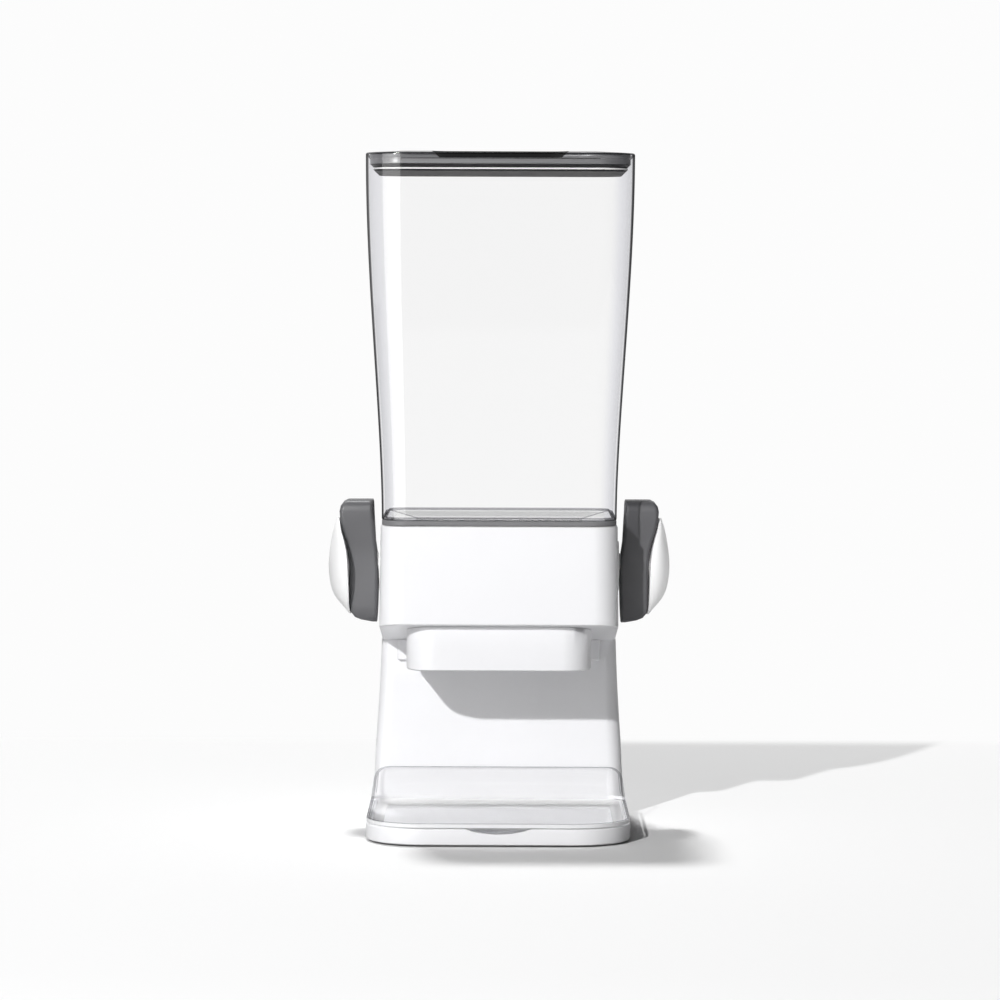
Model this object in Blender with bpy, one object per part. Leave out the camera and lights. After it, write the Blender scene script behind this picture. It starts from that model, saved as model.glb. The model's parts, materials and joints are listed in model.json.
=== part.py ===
"""A countertop cereal dispenser: a clear tapered bin over a white stand, with a six-blade paddle wheel
that a dial on either side turns, a spout, and a clear crumb tray.

Metres. X runs across, Y from front to back, Z up. The origin is on the floor, in the middle."""

import math
from collections import namedtuple

import bmesh
import bpy
from mathutils import Vector

# Shared fits and walls
CLEARANCE = 0.0003
OVERRUN = 0.004
WALL = 0.0024
CLEAR_WALL = 0.0022
EDGE_ROUND = 0.0009
LEAST_RADIUS = 0.0012

# How finely curves are divided
CORNER_STEPS = 6
GRIP_CORNER_STEPS = 4
CURVED_SIDE_STEPS = 6
ROUND_STEPS = 32
SMALL_ROUND_STEPS = 12
SMOOTH_ANGLE = math.radians(34)

# Width of the housing, which the rest follows
HOUSING_LOW_HALF_WIDTH = 0.0782
HOUSING_DRAFT = 0.0008
HOUSING_TOP_HALF_WIDTH = HOUSING_LOW_HALF_WIDTH - HOUSING_DRAFT
COLUMN_HALF_WIDTH = HOUSING_LOW_HALF_WIDTH + HOUSING_DRAFT
BASE_GROWTH = 0.0065
BASE_HALF_WIDTH = COLUMN_HALF_WIDTH + BASE_GROWTH

# Base, with the low wall that carries the tray
BASE_FRONT = -0.115
BASE_REAR = 0.115
BASE_FRONT_RADIUS = 0.037
BASE_REAR_RADIUS = 0.030
BASE_WALL_BOTTOM = 0.0012
BASE_WALL_HEIGHT = 0.0105
BASE_WALL_TOP = BASE_WALL_BOTTOM + BASE_WALL_HEIGHT
BASE_LIP = 0.0039
DECK_DEPTH = 0.0047
DECK_TOP = BASE_WALL_TOP - DECK_DEPTH
DECK_THICKNESS = 0.0024
NOTCH_HALF_WIDTH = 0.0216
NOTCH_DEPTH = 0.0033

# Cover under the base, its feet and its screws
BASE_PLATE_THICKNESS = 0.0020
FOOT_RADIUS = 0.0070
FOOT_CHAMFER = 0.0006
FOOT_INSET_SIDE = 0.0195
FOOT_INSET_FRONT = 0.027
FOOT_INSET_REAR = 0.029
BASE_SCREW_INSET = 0.0255
BASE_SCREW_FRONT_INSET = 0.053
BASE_SCREW_COLUMN_GAP = 0.018
SCREW_RADIUS = 0.0015
SCREW_HEAD_RADIUS = 0.0031
SCREW_HEAD_HEIGHT = 0.0009
BASE_SCREW_BITE = 0.0016

# Upper housing, the white body under the bin
HOUSING_FRONT = -0.055
HOUSING_TOP_REAR = 0.086
HOUSING_FRONT_RADIUS = 0.016
HOUSING_REAR_RADIUS = 0.018
LEDGE_WIDTH = 0.0020
LEDGE_DEPTH = 0.0020
INSERT_PLATE_THICKNESS = 0.0025
HOUSING_BOSS_RADIUS = 0.0045
HOUSING_BOSS_HEIGHT = 0.0090
HOUSING_SCREW_HEAD_HEIGHT = 0.0018
HOUSING_SCREW_INSET = 0.034

# Column, which flares into the base and carries the housing
COLUMN_FRONT = 0.040
COLUMN_REAR_DRAFT = 0.0020
COLUMN_TOP_REAR = HOUSING_TOP_REAR + COLUMN_REAR_DRAFT
COLUMN_FRONT_RADIUS = 0.010
COLUMN_REAR_RADIUS = 0.020
COLUMN_HEIGHT = 0.1181
COLUMN_TOP = BASE_WALL_BOTTOM + COLUMN_HEIGHT
# Share of the column's height, then of its flare in width and of its flare to the rear
COLUMN_FLARE_SHARES = (
    (0.00, 1.00, 1.00),
    (0.06, 0.98, 0.97),
    (0.09, 0.92, 0.90),
    (0.15, 0.80, 0.74),
    (0.24, 0.72, 0.55),
    (0.39, 0.60, 0.35),
    (0.54, 0.41, 0.20),
    (0.72, 0.21, 0.09),
    (0.88, 0.08, 0.03),
    (1.00, 0.00, 0.00),
)

# Heights of the axle, of the underside below it and of the housing's top above it
HOUSING_FLOOR = COLUMN_TOP + CLEARANCE
AXLE_RISE = 0.0524
AXLE_Z = HOUSING_FLOOR + AXLE_RISE
UNDERSIDE_FRONT_DEPTH = 0.0348
UNDERSIDE_DROP = AXLE_RISE - UNDERSIDE_FRONT_DEPTH
THROAT_RISE = 0.0190
THROAT_BOTTOM = AXLE_Z + THROAT_RISE
THROAT_STRAIGHT = 0.0053
THROAT_STRAIGHT_TOP = THROAT_BOTTOM + THROAT_STRAIGHT
THROAT_FLARE_HEIGHT = 0.0026
HOUSING_TOP = THROAT_STRAIGHT_TOP + THROAT_FLARE_HEIGHT + INSERT_PLATE_THICKNESS

# Axle and wheel
AXLE_Y = 0.008
SHAFT_RADIUS = 0.0060
SHAFT_REACH = 0.0143
SHAFT_HALF_LENGTH = HOUSING_LOW_HALF_WIDTH + SHAFT_REACH
CORE_WALL = 0.0032
WHEEL_INSET = 0.0268
WHEEL_HALF_LENGTH = HOUSING_LOW_HALF_WIDTH - WHEEL_INSET
CORE_OVERHANG = 0.0010
SLEEVE_WALL = 0.0022
WHEEL_RADIUS = 0.0248
BLADE_COUNT = 6
BLADE_ROOT_HALF_THICKNESS = 0.0011
BLADE_TIP_HALF_THICKNESS = 0.0006

# Chamber round the wheel, and the bushings that carry it
BLADE_GAP = 0.0012
CHAMBER_RADIUS = WHEEL_RADIUS + BLADE_GAP
CHAMBER_WALL = 0.0022
WHEEL_END_GAP = 0.0016
CHAMBER_HALF_LENGTH = WHEEL_HALF_LENGTH + CORE_OVERHANG + WHEEL_END_GAP
CHAMBER_TRIM_RISE = 0.0240
CHAMBER_TRIM_TOP = AXLE_Z + CHAMBER_TRIM_RISE
CHAMBER_TRIM_DROP = 0.0214
CHAMBER_TRIM_BOTTOM = AXLE_Z - CHAMBER_TRIM_DROP
INLET_SHOULDER = 0.0060
INLET_HALF_DEPTH = CHAMBER_RADIUS - INLET_SHOULDER
OUTLET_SHOULDER = 0.0080
OUTLET_HALF_DEPTH = CHAMBER_RADIUS - OUTLET_SHOULDER
SLOT_BITE = 0.0004
OUTLET_RIM = 0.0010
BUSHING_WALL = 0.0027
FLANGE_RADIUS = 0.0165
FLANGE_THICKNESS = 0.0012

# Funnel insert that closes the housing and feeds the chamber
THROAT_WALL = 0.0017
MOUTH_FLARE_WIDTH = 0.0034
MOUTH_HALF_WIDTH = CHAMBER_HALF_LENGTH + MOUTH_FLARE_WIDTH
MOUTH_FLARE_DEPTH = 0.0024
MOUTH_HALF_DEPTH = INLET_HALF_DEPTH + MOUTH_FLARE_DEPTH
FUNNEL_RADIUS = 0.0040

# Chute below the chamber, spout and the cover behind it
CHUTE_WALL = 0.0017
CHUTE_DROP = 0.0200
CHUTE_TOP = AXLE_Z - CHUTE_DROP
CHUTE_MOUTH_GROWTH = 0.0024
CHUTE_TOP_HALF_DEPTH = OUTLET_HALF_DEPTH + CHUTE_MOUTH_GROWTH
CHUTE_SPIGOT_HEIGHT = 0.0052
CHUTE_RADIUS = 0.0006
SPOUT_GROWTH = 0.0066
SPOUT_HALF_WIDTH = CHAMBER_HALF_LENGTH + SPOUT_GROWTH
SPOUT_SETBACK = 0.0085
SPOUT_FRONT = HOUSING_FRONT + SPOUT_SETBACK
CHUTE_COVER_DEPTH = 0.005
SPOUT_REAR = COLUMN_FRONT - CHUTE_COVER_DEPTH
SPOUT_RADIUS = 0.019
SPOUT_DROP = 0.0131
SPOUT_BOTTOM = COLUMN_TOP - SPOUT_DROP
SPOUT_WALL = 0.0022
COLLAR_INSET = 0.0016
COLLAR_WALL = 0.0018
COLLAR_HEIGHT = 0.0040
CHUTE_COVER_GROWTH = 0.0077
CHUTE_COVER_HALF_WIDTH = SPOUT_HALF_WIDTH + CHUTE_COVER_GROWTH
CHUTE_COVER_RADIUS = 0.0014

# Bin, which flares towards its rim, and the seal that it stands on
BIN_STEP_SIDE = 0.0006
BIN_LOW_HALF_WIDTH = HOUSING_TOP_HALF_WIDTH - BIN_STEP_SIDE
BIN_STEP_FRONT = 0.0030
BIN_LOW_FRONT = HOUSING_FRONT + BIN_STEP_FRONT
BIN_STEP_REAR = 0.0060
BIN_LOW_REAR = HOUSING_TOP_REAR - BIN_STEP_REAR
BIN_FLARE_SIDE = 0.0110
BIN_TOP_HALF_WIDTH = BIN_LOW_HALF_WIDTH + BIN_FLARE_SIDE
BIN_FLARE_DEPTH = 0.0040
BIN_TOP_FRONT = BIN_LOW_FRONT - BIN_FLARE_DEPTH
BIN_TOP_REAR = BIN_LOW_REAR + BIN_FLARE_DEPTH
BIN_LOW_RADIUS = 0.016
BIN_TOP_RADIUS = 0.023
SEAL_HEIGHT = 0.0028
SEAL_WIDTH = 0.0059
SEAL_INSET = 0.0001
BIN_FOOT_BOTTOM = HOUSING_TOP + SEAL_HEIGHT + 2 * CLEARANCE
BIN_HEIGHT = 0.2392
BIN_TOP = BIN_FOOT_BOTTOM + BIN_HEIGHT
BIN_LEVELS = 8
FLARE_EARLY_SHARE = 0.9
BIN_COLLAR_DEPTH = 0.0021
BIN_COLLAR_BOTTOM = HOUSING_TOP - BIN_COLLAR_DEPTH
BIN_FLOOR_RISE = 0.0026
BIN_FLOOR_FILLET = 0.0018

# Lid, from its top down: cover, plug and gasket
LID_PROUD = 0.0002
LID_TOP = BIN_TOP + LID_PROUD
LID_CROWN_RISE = 0.0014
LID_CROWN_INSET = 0.022
LID_CREST = LID_TOP + LID_CROWN_RISE
LID_COVER_HEIGHT = 0.0075
LID_COVER_BOTTOM = LID_TOP - LID_COVER_HEIGHT
LID_GROOVE_DROP = 0.0039
LID_GROOVE_Z = LID_TOP - LID_GROOVE_DROP
LID_GROOVE_HALF_HEIGHT = 0.0004
LID_GROOVE_DEPTH = 0.0007
LID_PLATE_THICKNESS = 0.0052
LID_WALL = 0.0022
PLUG_HEIGHT = 0.0047
PLUG_BOTTOM = LID_COVER_BOTTOM - PLUG_HEIGHT
PLUG_FLOOR = 0.0022
PLUG_INSET_TOP = 0.0008
PLUG_INSET_LOW = 0.0024
GASKET_RISE = 0.0009
GASKET_BOTTOM = PLUG_BOTTOM + GASKET_RISE
GASKET_HEIGHT = 0.0013
GASKET_TOP = GASKET_BOTTOM + GASKET_HEIGHT
GASKET_DEPTH = 0.0024
GASKET_PROUD = 0.0004
SCOOP_TOP_HALF_WIDTH = 0.0460
SCOOP_LOW_HALF_WIDTH = 0.0395
SCOOP_DEPTH = 0.0037
SCOOP_LENGTH = 0.026
SCOOP_RADIUS = 0.012

# Clear crumb tray with a splash wall against the column
TRAY_LAP_GAP = 0.0008
TRAY_RIM_UNDERSIDE = BASE_WALL_TOP + TRAY_LAP_GAP
TRAY_RIM_THICKNESS = 0.0025
TRAY_RIM = TRAY_RIM_UNDERSIDE + TRAY_RIM_THICKNESS
TRAY_SPLASH_HEIGHT = 0.0190
TRAY_SPLASH_TOP = TRAY_RIM + TRAY_SPLASH_HEIGHT
TRAY_SPLASH_RUN = 0.026
TRAY_FRONT_RADIUS = 0.0365
TRAY_REAR_RADIUS = 0.012
TRAY_WALL = 0.0020
TRAY_EDGE_GAP = 0.0004
TRAY_FLOOR_THICKNESS = 0.0018
TRAY_FLOOR_INSET = 0.0100
TRAY_WALL_INSET = 0.0058
TRAY_REAR_SHARE = 0.5
TRAY_LEAN_SHARE = 0.026

# Soft grips, sections from the bottom up
GRIP_DROP = 0.0371
GRIP_BOTTOM = AXLE_Z - GRIP_DROP
GRIP_HEIGHT = 0.0811
GRIP_TOP = GRIP_BOTTOM + GRIP_HEIGHT
GRIP_GAP = 0.0017
GRIP_INNER = HOUSING_LOW_HALF_WIDTH + GRIP_GAP
GRIP_INNER_LEAN = 0.0035
GRIP_WIDTH = 0.0189
GRIP_WAIST = GRIP_INNER + GRIP_WIDTH
GRIP_FLARE = 0.0070
GRIP_HALF_DEPTH = 0.0125
GRIP_CORNER = 0.0026
# Share of the height, then of the inner lean, of the outer flare and of the depth
GRIP_SECTION_SHARES = (
    (0.000, 0.31, -2.10, 0.56),
    (0.017, 0.30, -1.04, 0.72),
    (0.038, 0.25, -0.47, 0.84),
    (0.081, 0.20, -0.09, 0.92),
    (0.137, 0.14, 0.00, 0.96),
    (0.285, 0.05, 0.03, 0.93),
    (0.433, 0.02, 0.06, 0.88),
    (0.568, 0.30, 0.17, 0.87),
    (0.655, 0.60, 0.37, 0.90),
    (0.741, 0.72, 0.71, 0.95),
    (0.827, 0.83, 0.92, 1.00),
    (0.907, 0.94, 1.00, 1.03),
    (0.951, 0.97, 0.89, 1.00),
    (0.981, 1.00, 0.63, 0.88),
    (1.000, 1.10, 0.24, 0.68),
)

# White dial shells on the outer side of the grips
DIAL_HALF_HEIGHT = 0.0325
DIAL_REACH = 0.0148
DIAL_HALF_DEPTH = 0.025
DIAL_RIM = 0.0010
DIAL_GAP = 0.0005
DIAL_ARC_STEPS = 12
DIAL_STEM_WALL = 0.0022
# Share of the half height from the axle, then of the reach and of the half depth
DIAL_SECTION_SHARES = (
    (-0.98, 0.06, 0.20),
    (-0.93, 0.14, 0.37),
    (-0.87, 0.24, 0.49),
    (-0.74, 0.52, 0.67),
    (-0.58, 0.77, 0.81),
    (-0.42, 0.89, 0.91),
    (-0.20, 0.975, 0.98),
    (0.00, 1.00, 1.00),
    (0.28, 0.96, 0.96),
    (0.55, 0.86, 0.835),
    (0.69, 0.80, 0.72),
    (0.83, 0.72, 0.56),
    (0.93, 0.64, 0.37),
    (0.98, 0.58, 0.20),
)

Plan = namedtuple("Plan", "half_width front rear front_radius rear_radius")


# Outlines and meshes


def inset(plan, by):
    """The same outline moved in by a wall, or out by a negative one."""
    return Plan(
        plan.half_width - by,
        plan.front + by,
        plan.rear - by,
        max(plan.front_radius - by, LEAST_RADIUS),
        max(plan.rear_radius - by, LEAST_RADIUS),
    )


def box_plan(half_width, half_depth, middle, radius):
    return Plan(half_width, middle - half_depth, middle + half_depth, radius, radius)


def ring(plan, height, stops=(), corners=CORNER_STEPS):
    """One turn round an outline, counter-clockwise from above, each point with its mirror image.
    The height is a number or a function of Y, and stops are further places along the sides."""
    right = []
    for step in range(corners + 1):
        turn = math.pi / 2 * step / corners
        x = plan.half_width - plan.front_radius + plan.front_radius * math.sin(turn)
        y = plan.front + plan.front_radius - plan.front_radius * math.cos(turn)
        right.append((x, y))
    right += [(plan.half_width, y) for y in stops]
    for step in range(corners + 1):
        turn = math.pi / 2 * step / corners
        x = plan.half_width - plan.rear_radius + plan.rear_radius * math.cos(turn)
        y = plan.rear - plan.rear_radius + plan.rear_radius * math.sin(turn)
        right.append((x, y))
    outline = right + [(-x, y) for x, y in reversed(right)]
    return [Vector((x, y, height(y) if callable(height) else height)) for x, y in outline]


def side_ends(plan):
    return plan.front + plan.front_radius, plan.rear - plan.rear_radius


def curved_ring(plan, height):
    """A ring with enough points along its sides to follow a height that curves with Y."""
    start, end = side_ends(plan)
    shares = [step / CURVED_SIDE_STEPS for step in range(1, CURVED_SIDE_STEPS)]
    return ring(plan, height, [between(start, end, share) for share in shares])


def sloped_ring(plan, height):
    """A ring with one point along its sides, where the housing's slope ends or else halfway."""
    start, end = side_ends(plan)
    stop = COLUMN_FRONT if start < COLUMN_FRONT < end else (start + end) / 2
    return ring(plan, height, [stop])


def circle(radius, height, steps=ROUND_STEPS):
    turns = [2 * math.pi * step / steps for step in range(steps)]
    return [Vector((radius * math.cos(turn), radius * math.sin(turn), height)) for turn in turns]


def face_outward(mesh):
    bmesh.ops.recalc_face_normals(mesh, faces=mesh.faces)
    if mesh.calc_volume(signed=True) < 0:
        bmesh.ops.reverse_faces(mesh, faces=mesh.faces)
    return mesh


def skin(rings, closed=False, across=True):
    """Joins rings of equal counts into a closed surface. A closed one runs back to its first ring.
    Otherwise both ends are capped, with strips across from each point to its mirror image."""
    mesh = bmesh.new()
    rows = [[mesh.verts.new(point) for point in points] for points in rings]
    count = len(rings[0])
    pairs = list(zip(rows, rows[1:]))
    if closed:
        pairs.append((rows[-1], rows[0]))
    for low, high in pairs:
        for here in range(count):
            after = (here + 1) % count
            mesh.faces.new((low[here], low[after], high[after], high[here]))
    if not closed:
        for row in (rows[0], rows[-1]):
            if across:
                for here in range(count // 2 - 1):
                    mesh.faces.new((row[here], row[here + 1], row[-2 - here], row[-1 - here]))
            else:
                mesh.faces.new(row)
    return face_outward(mesh)


def add(name, mesh, material=None, parent=None):
    """Puts a mesh in the scene as one named object, shaded smooth but for its edges."""
    data = bpy.data.meshes.new(name)
    mesh.to_mesh(data)
    mesh.free()
    data.shade_smooth()
    data.set_sharp_from_angle(angle=SMOOTH_ANGLE)
    thing = bpy.data.objects.new(name, data)
    bpy.context.scene.collection.objects.link(thing)
    if material is not None:
        data.materials.append(material)
    if parent is not None:
        thing.parent = parent
        thing.matrix_parent_inverse = parent.matrix_world.inverted()
    return thing


def helper(name, mesh):
    """A cutter or a shape to join, left out of renders."""
    thing = add(name, mesh)
    thing.hide_render = True
    thing.display_type = "WIRE"
    return thing


def combine(thing, other, operation):
    step = thing.modifiers.new(other.name, "BOOLEAN")
    step.operation = operation
    step.object = other
    step.solver = "EXACT"
    other.parent = thing.parent
    other.matrix_parent_inverse = thing.matrix_parent_inverse


def cut(thing, other):
    combine(thing, other, "DIFFERENCE")


def join(thing, other):
    combine(thing, other, "UNION")


def block(plan, bottom, top):
    return skin([ring(plan, bottom), ring(plan, top)])


def turned(profile, closed=False, steps=ROUND_STEPS):
    """A turned shape about Z from (height, radius) pairs. A closed profile leaves a bore."""
    return skin([circle(radius, height, steps) for height, radius in profile], closed, False)


def lay_across(mesh, y, z):
    """Turns a shape about Z into one about X, through the point given."""
    for vertex in mesh.verts:
        along = vertex.co.copy()
        vertex.co = Vector((along.z, y + along.x, z + along.y))
    return face_outward(mesh)


def cylinder_across(start, end, radius, steps=ROUND_STEPS):
    """A cylinder about the axle from one X to another."""
    return lay_across(turned([(start, radius), (end, radius)], steps=steps), AXLE_Y, AXLE_Z)


def stood_at(mesh, x, y):
    for vertex in mesh.verts:
        vertex.co += Vector((x, y, 0))
    return mesh


def mirrored(mesh, side):
    """The same shape on the right (1) or the left (-1)."""
    for vertex in mesh.verts:
        vertex.co.x *= side
    return face_outward(mesh)


def between(low, high, share):
    return low + (high - low) * share


def material(name, colour, roughness, metallic=0.0, transmission=0.0, alpha=1.0):
    made = bpy.data.materials.new(name)
    made.use_nodes = True
    surface = made.node_tree.nodes["Principled BSDF"]
    surface.inputs["Base Color"].default_value = (*colour, 1.0)
    surface.inputs["Roughness"].default_value = roughness
    surface.inputs["Metallic"].default_value = metallic
    surface.inputs["Transmission Weight"].default_value = transmission
    surface.inputs["Alpha"].default_value = alpha
    made.diffuse_color = (*colour, alpha)
    return made


# Outlines that several pieces share


def base_plan():
    return Plan(BASE_HALF_WIDTH, BASE_FRONT, BASE_REAR, BASE_FRONT_RADIUS, BASE_REAR_RADIUS)


def housing_top_plan():
    return Plan(
        HOUSING_TOP_HALF_WIDTH, HOUSING_FRONT, HOUSING_TOP_REAR, HOUSING_FRONT_RADIUS, HOUSING_REAR_RADIUS
    )


def housing_low_plan():
    return Plan(
        HOUSING_LOW_HALF_WIDTH, HOUSING_FRONT, COLUMN_TOP_REAR, HOUSING_FRONT_RADIUS, HOUSING_REAR_RADIUS
    )


def spout_plan():
    return Plan(SPOUT_HALF_WIDTH, SPOUT_FRONT, SPOUT_REAR, SPOUT_RADIUS, SPOUT_RADIUS)


def underside(y):
    """Height of the housing's underside: one slope down to the column, then level over it."""
    share = (COLUMN_FRONT - y) / (COLUMN_FRONT - HOUSING_FRONT)
    return HOUSING_FLOOR + UNDERSIDE_DROP * min(max(share, 0), 1)


def above_underside(by):
    return lambda y: underside(y) + by


def bin_plan(height):
    """Outer outline of the bin at a height, after an S-curve from its foot to its rim."""
    share = min(max((height - BIN_FOOT_BOTTOM) / (BIN_TOP - BIN_FOOT_BOTTOM), 0), 1)
    share = share**FLARE_EARLY_SHARE
    flare = share * share * (3 - 2 * share)
    return Plan(
        between(BIN_LOW_HALF_WIDTH, BIN_TOP_HALF_WIDTH, flare),
        between(BIN_LOW_FRONT, BIN_TOP_FRONT, flare),
        between(BIN_LOW_REAR, BIN_TOP_REAR, flare),
        between(BIN_LOW_RADIUS, BIN_TOP_RADIUS, flare),
        between(BIN_LOW_RADIUS, BIN_TOP_RADIUS, flare),
    )


def collar_plan():
    """Outline of the bin's collar, which drops into the mouth of the funnel insert."""
    half_width = MOUTH_HALF_WIDTH - CLEARANCE
    half_depth = MOUTH_HALF_DEPTH - CLEARANCE
    return box_plan(half_width, half_depth, AXLE_Y, FUNNEL_RADIUS)


def deck_underside():
    return DECK_TOP - DECK_THICKNESS


def plate_top():
    return deck_underside() - CLEARANCE


def plate_bottom():
    return plate_top() - BASE_PLATE_THICKNESS


# Stand


def make_stand(plastic):
    """Column and base in one moulding, open below, with a recess for the tray."""
    stand = add("stand", base_shell(), plastic)
    join(stand, helper("column_outside", column_shell(0, COLUMN_TOP, BASE_WALL_BOTTOM)))
    cut(stand, helper("tray_recess", block(recess_plan(), DECK_TOP, BASE_WALL_TOP + OVERRUN)))
    hollow = inset(base_plan(), WALL)
    cut(stand, helper("base_hollow", block(hollow, BASE_WALL_BOTTOM - OVERRUN, deck_underside())))
    inside = column_shell(WALL, COLUMN_TOP - WALL, BASE_WALL_BOTTOM - OVERRUN)
    cut(stand, helper("column_hollow", inside))
    cut(stand, helper("finger_notch", notch()))
    for index, (x, y) in enumerate(base_screw_places()):
        radius = SCREW_RADIUS + CLEARANCE
        top = plate_top() + BASE_SCREW_BITE + CLEARANCE
        bottom = deck_underside() - OVERRUN
        hole = turned([(bottom, radius), (top, radius)], steps=SMALL_ROUND_STEPS)
        cut(stand, helper(f"base_screw_hole_{index}", stood_at(hole, x, y)))
    for name, x, y in housing_screw_places():
        radius = SCREW_RADIUS + CLEARANCE
        ends = [(COLUMN_TOP - WALL - OVERRUN, radius), (COLUMN_TOP + OVERRUN, radius)]
        hole = turned(ends, steps=SMALL_ROUND_STEPS)
        cut(stand, helper(f"column_screw_hole_{name}", stood_at(hole, x, y)))
    return stand


def base_shell():
    plan = base_plan()
    rounded = inset(plan, EDGE_ROUND)
    return skin(
        [
            ring(rounded, BASE_WALL_BOTTOM),
            ring(plan, BASE_WALL_BOTTOM + EDGE_ROUND),
            ring(plan, BASE_WALL_TOP - EDGE_ROUND),
            ring(rounded, BASE_WALL_TOP),
        ]
    )


def recess_plan():
    lip = inset(base_plan(), BASE_LIP)
    return Plan(lip.half_width, lip.front, COLUMN_FRONT - CLEARANCE, lip.front_radius, COLUMN_FRONT_RADIUS)


def column_shell(wall, top, bottom):
    """The column's skin, or its hollow when a wall is given."""
    rings = []
    for height_share, width_share, rear_share in COLUMN_FLARE_SHARES:
        plan = Plan(
            between(COLUMN_HALF_WIDTH, BASE_HALF_WIDTH, width_share),
            COLUMN_FRONT,
            between(COLUMN_TOP_REAR, BASE_REAR, rear_share),
            COLUMN_FRONT_RADIUS,
            between(COLUMN_REAR_RADIUS, BASE_REAR_RADIUS, rear_share),
        )
        height = between(BASE_WALL_BOTTOM, COLUMN_TOP, height_share)
        if height_share == COLUMN_FLARE_SHARES[0][0]:
            height = bottom
        rings.append(ring(inset(plan, wall), min(height, top)))
    return skin(rings)


def notch():
    """A shallow arc out of the top of the front wall, where a finger lifts the tray."""
    radius = (NOTCH_HALF_WIDTH**2 + NOTCH_DEPTH**2) / (2 * NOTCH_DEPTH)
    middle = BASE_WALL_TOP - NOTCH_DEPTH + radius
    reach = math.asin((NOTCH_HALF_WIDTH + OVERRUN) / radius)
    steps = CORNER_STEPS * 2
    arc = []
    for step in range(steps + 1):
        turn = reach * (2 * step / steps - 1)
        arc.append((radius * math.sin(turn), middle - radius * math.cos(turn)))
    top = BASE_WALL_TOP + OVERRUN
    outline = [(arc[0][0], top), *arc, (arc[-1][0], top)]
    ends = (BASE_FRONT - OVERRUN, BASE_FRONT + BASE_LIP + OVERRUN)
    return skin([[Vector((x, y, z)) for x, z in outline] for y in ends], across=False)


def make_base_plate(plastic):
    """Cover under the base, with counterbored screw holes."""
    plan = inset(base_plan(), WALL + CLEARANCE)
    plate = add("base_plate", block(plan, plate_bottom(), plate_top()), plastic)
    for index, (x, y) in enumerate(base_screw_places()):
        shank = SCREW_RADIUS + CLEARANCE
        head = SCREW_HEAD_RADIUS + CLEARANCE
        seat = plate_bottom() + SCREW_HEAD_HEIGHT + CLEARANCE
        low = plate_bottom() - OVERRUN
        profile = [(low, head), (seat, head), (seat, shank), (plate_top() + OVERRUN, shank)]
        hole = turned(profile, steps=SMALL_ROUND_STEPS)
        cut(plate, helper(f"plate_hole_{index}", stood_at(hole, x, y)))
    return plate


def base_screw_places():
    across = BASE_HALF_WIDTH - BASE_SCREW_INSET
    front = BASE_FRONT + BASE_SCREW_FRONT_INSET
    rear = COLUMN_FRONT - BASE_SCREW_COLUMN_GAP
    return [(x, y) for y in (front, rear) for x in (-across, across)]


def housing_screw_places():
    across = COLUMN_HALF_WIDTH - HOUSING_SCREW_INSET
    middle = (COLUMN_FRONT + COLUMN_TOP_REAR) / 2
    return (("left", -across, middle), ("right", across, middle))


def corner_names():
    return ("front_left", "front_right", "rear_left", "rear_right")


def screw(bottom, head_height, top):
    profile = [
        (bottom, SCREW_HEAD_RADIUS),
        (bottom + head_height, SCREW_HEAD_RADIUS),
        (bottom + head_height, SCREW_RADIUS),
        (top, SCREW_RADIUS),
    ]
    return turned(profile, steps=SMALL_ROUND_STEPS)


def make_base_screws(steel):
    for name, (x, y) in zip(corner_names(), base_screw_places()):
        made = screw(plate_bottom(), SCREW_HEAD_HEIGHT, plate_top() + BASE_SCREW_BITE)
        add(f"base_screw_{name}", stood_at(made, x, y), steel)


def make_feet(rubber):
    top = plate_bottom() - CLEARANCE
    profile = [
        (0, FOOT_RADIUS - FOOT_CHAMFER),
        (FOOT_CHAMFER, FOOT_RADIUS),
        (top, FOOT_RADIUS),
    ]
    across = BASE_HALF_WIDTH - FOOT_INSET_SIDE
    rows = (BASE_FRONT + FOOT_INSET_FRONT, BASE_REAR - FOOT_INSET_REAR)
    places = [(x, y) for y in rows for x in (-across, across)]
    for name, (x, y) in zip(corner_names(), places):
        add(f"foot_{name}", stood_at(turned(profile, steps=SMALL_ROUND_STEPS), x, y), rubber)


# Housing


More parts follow.
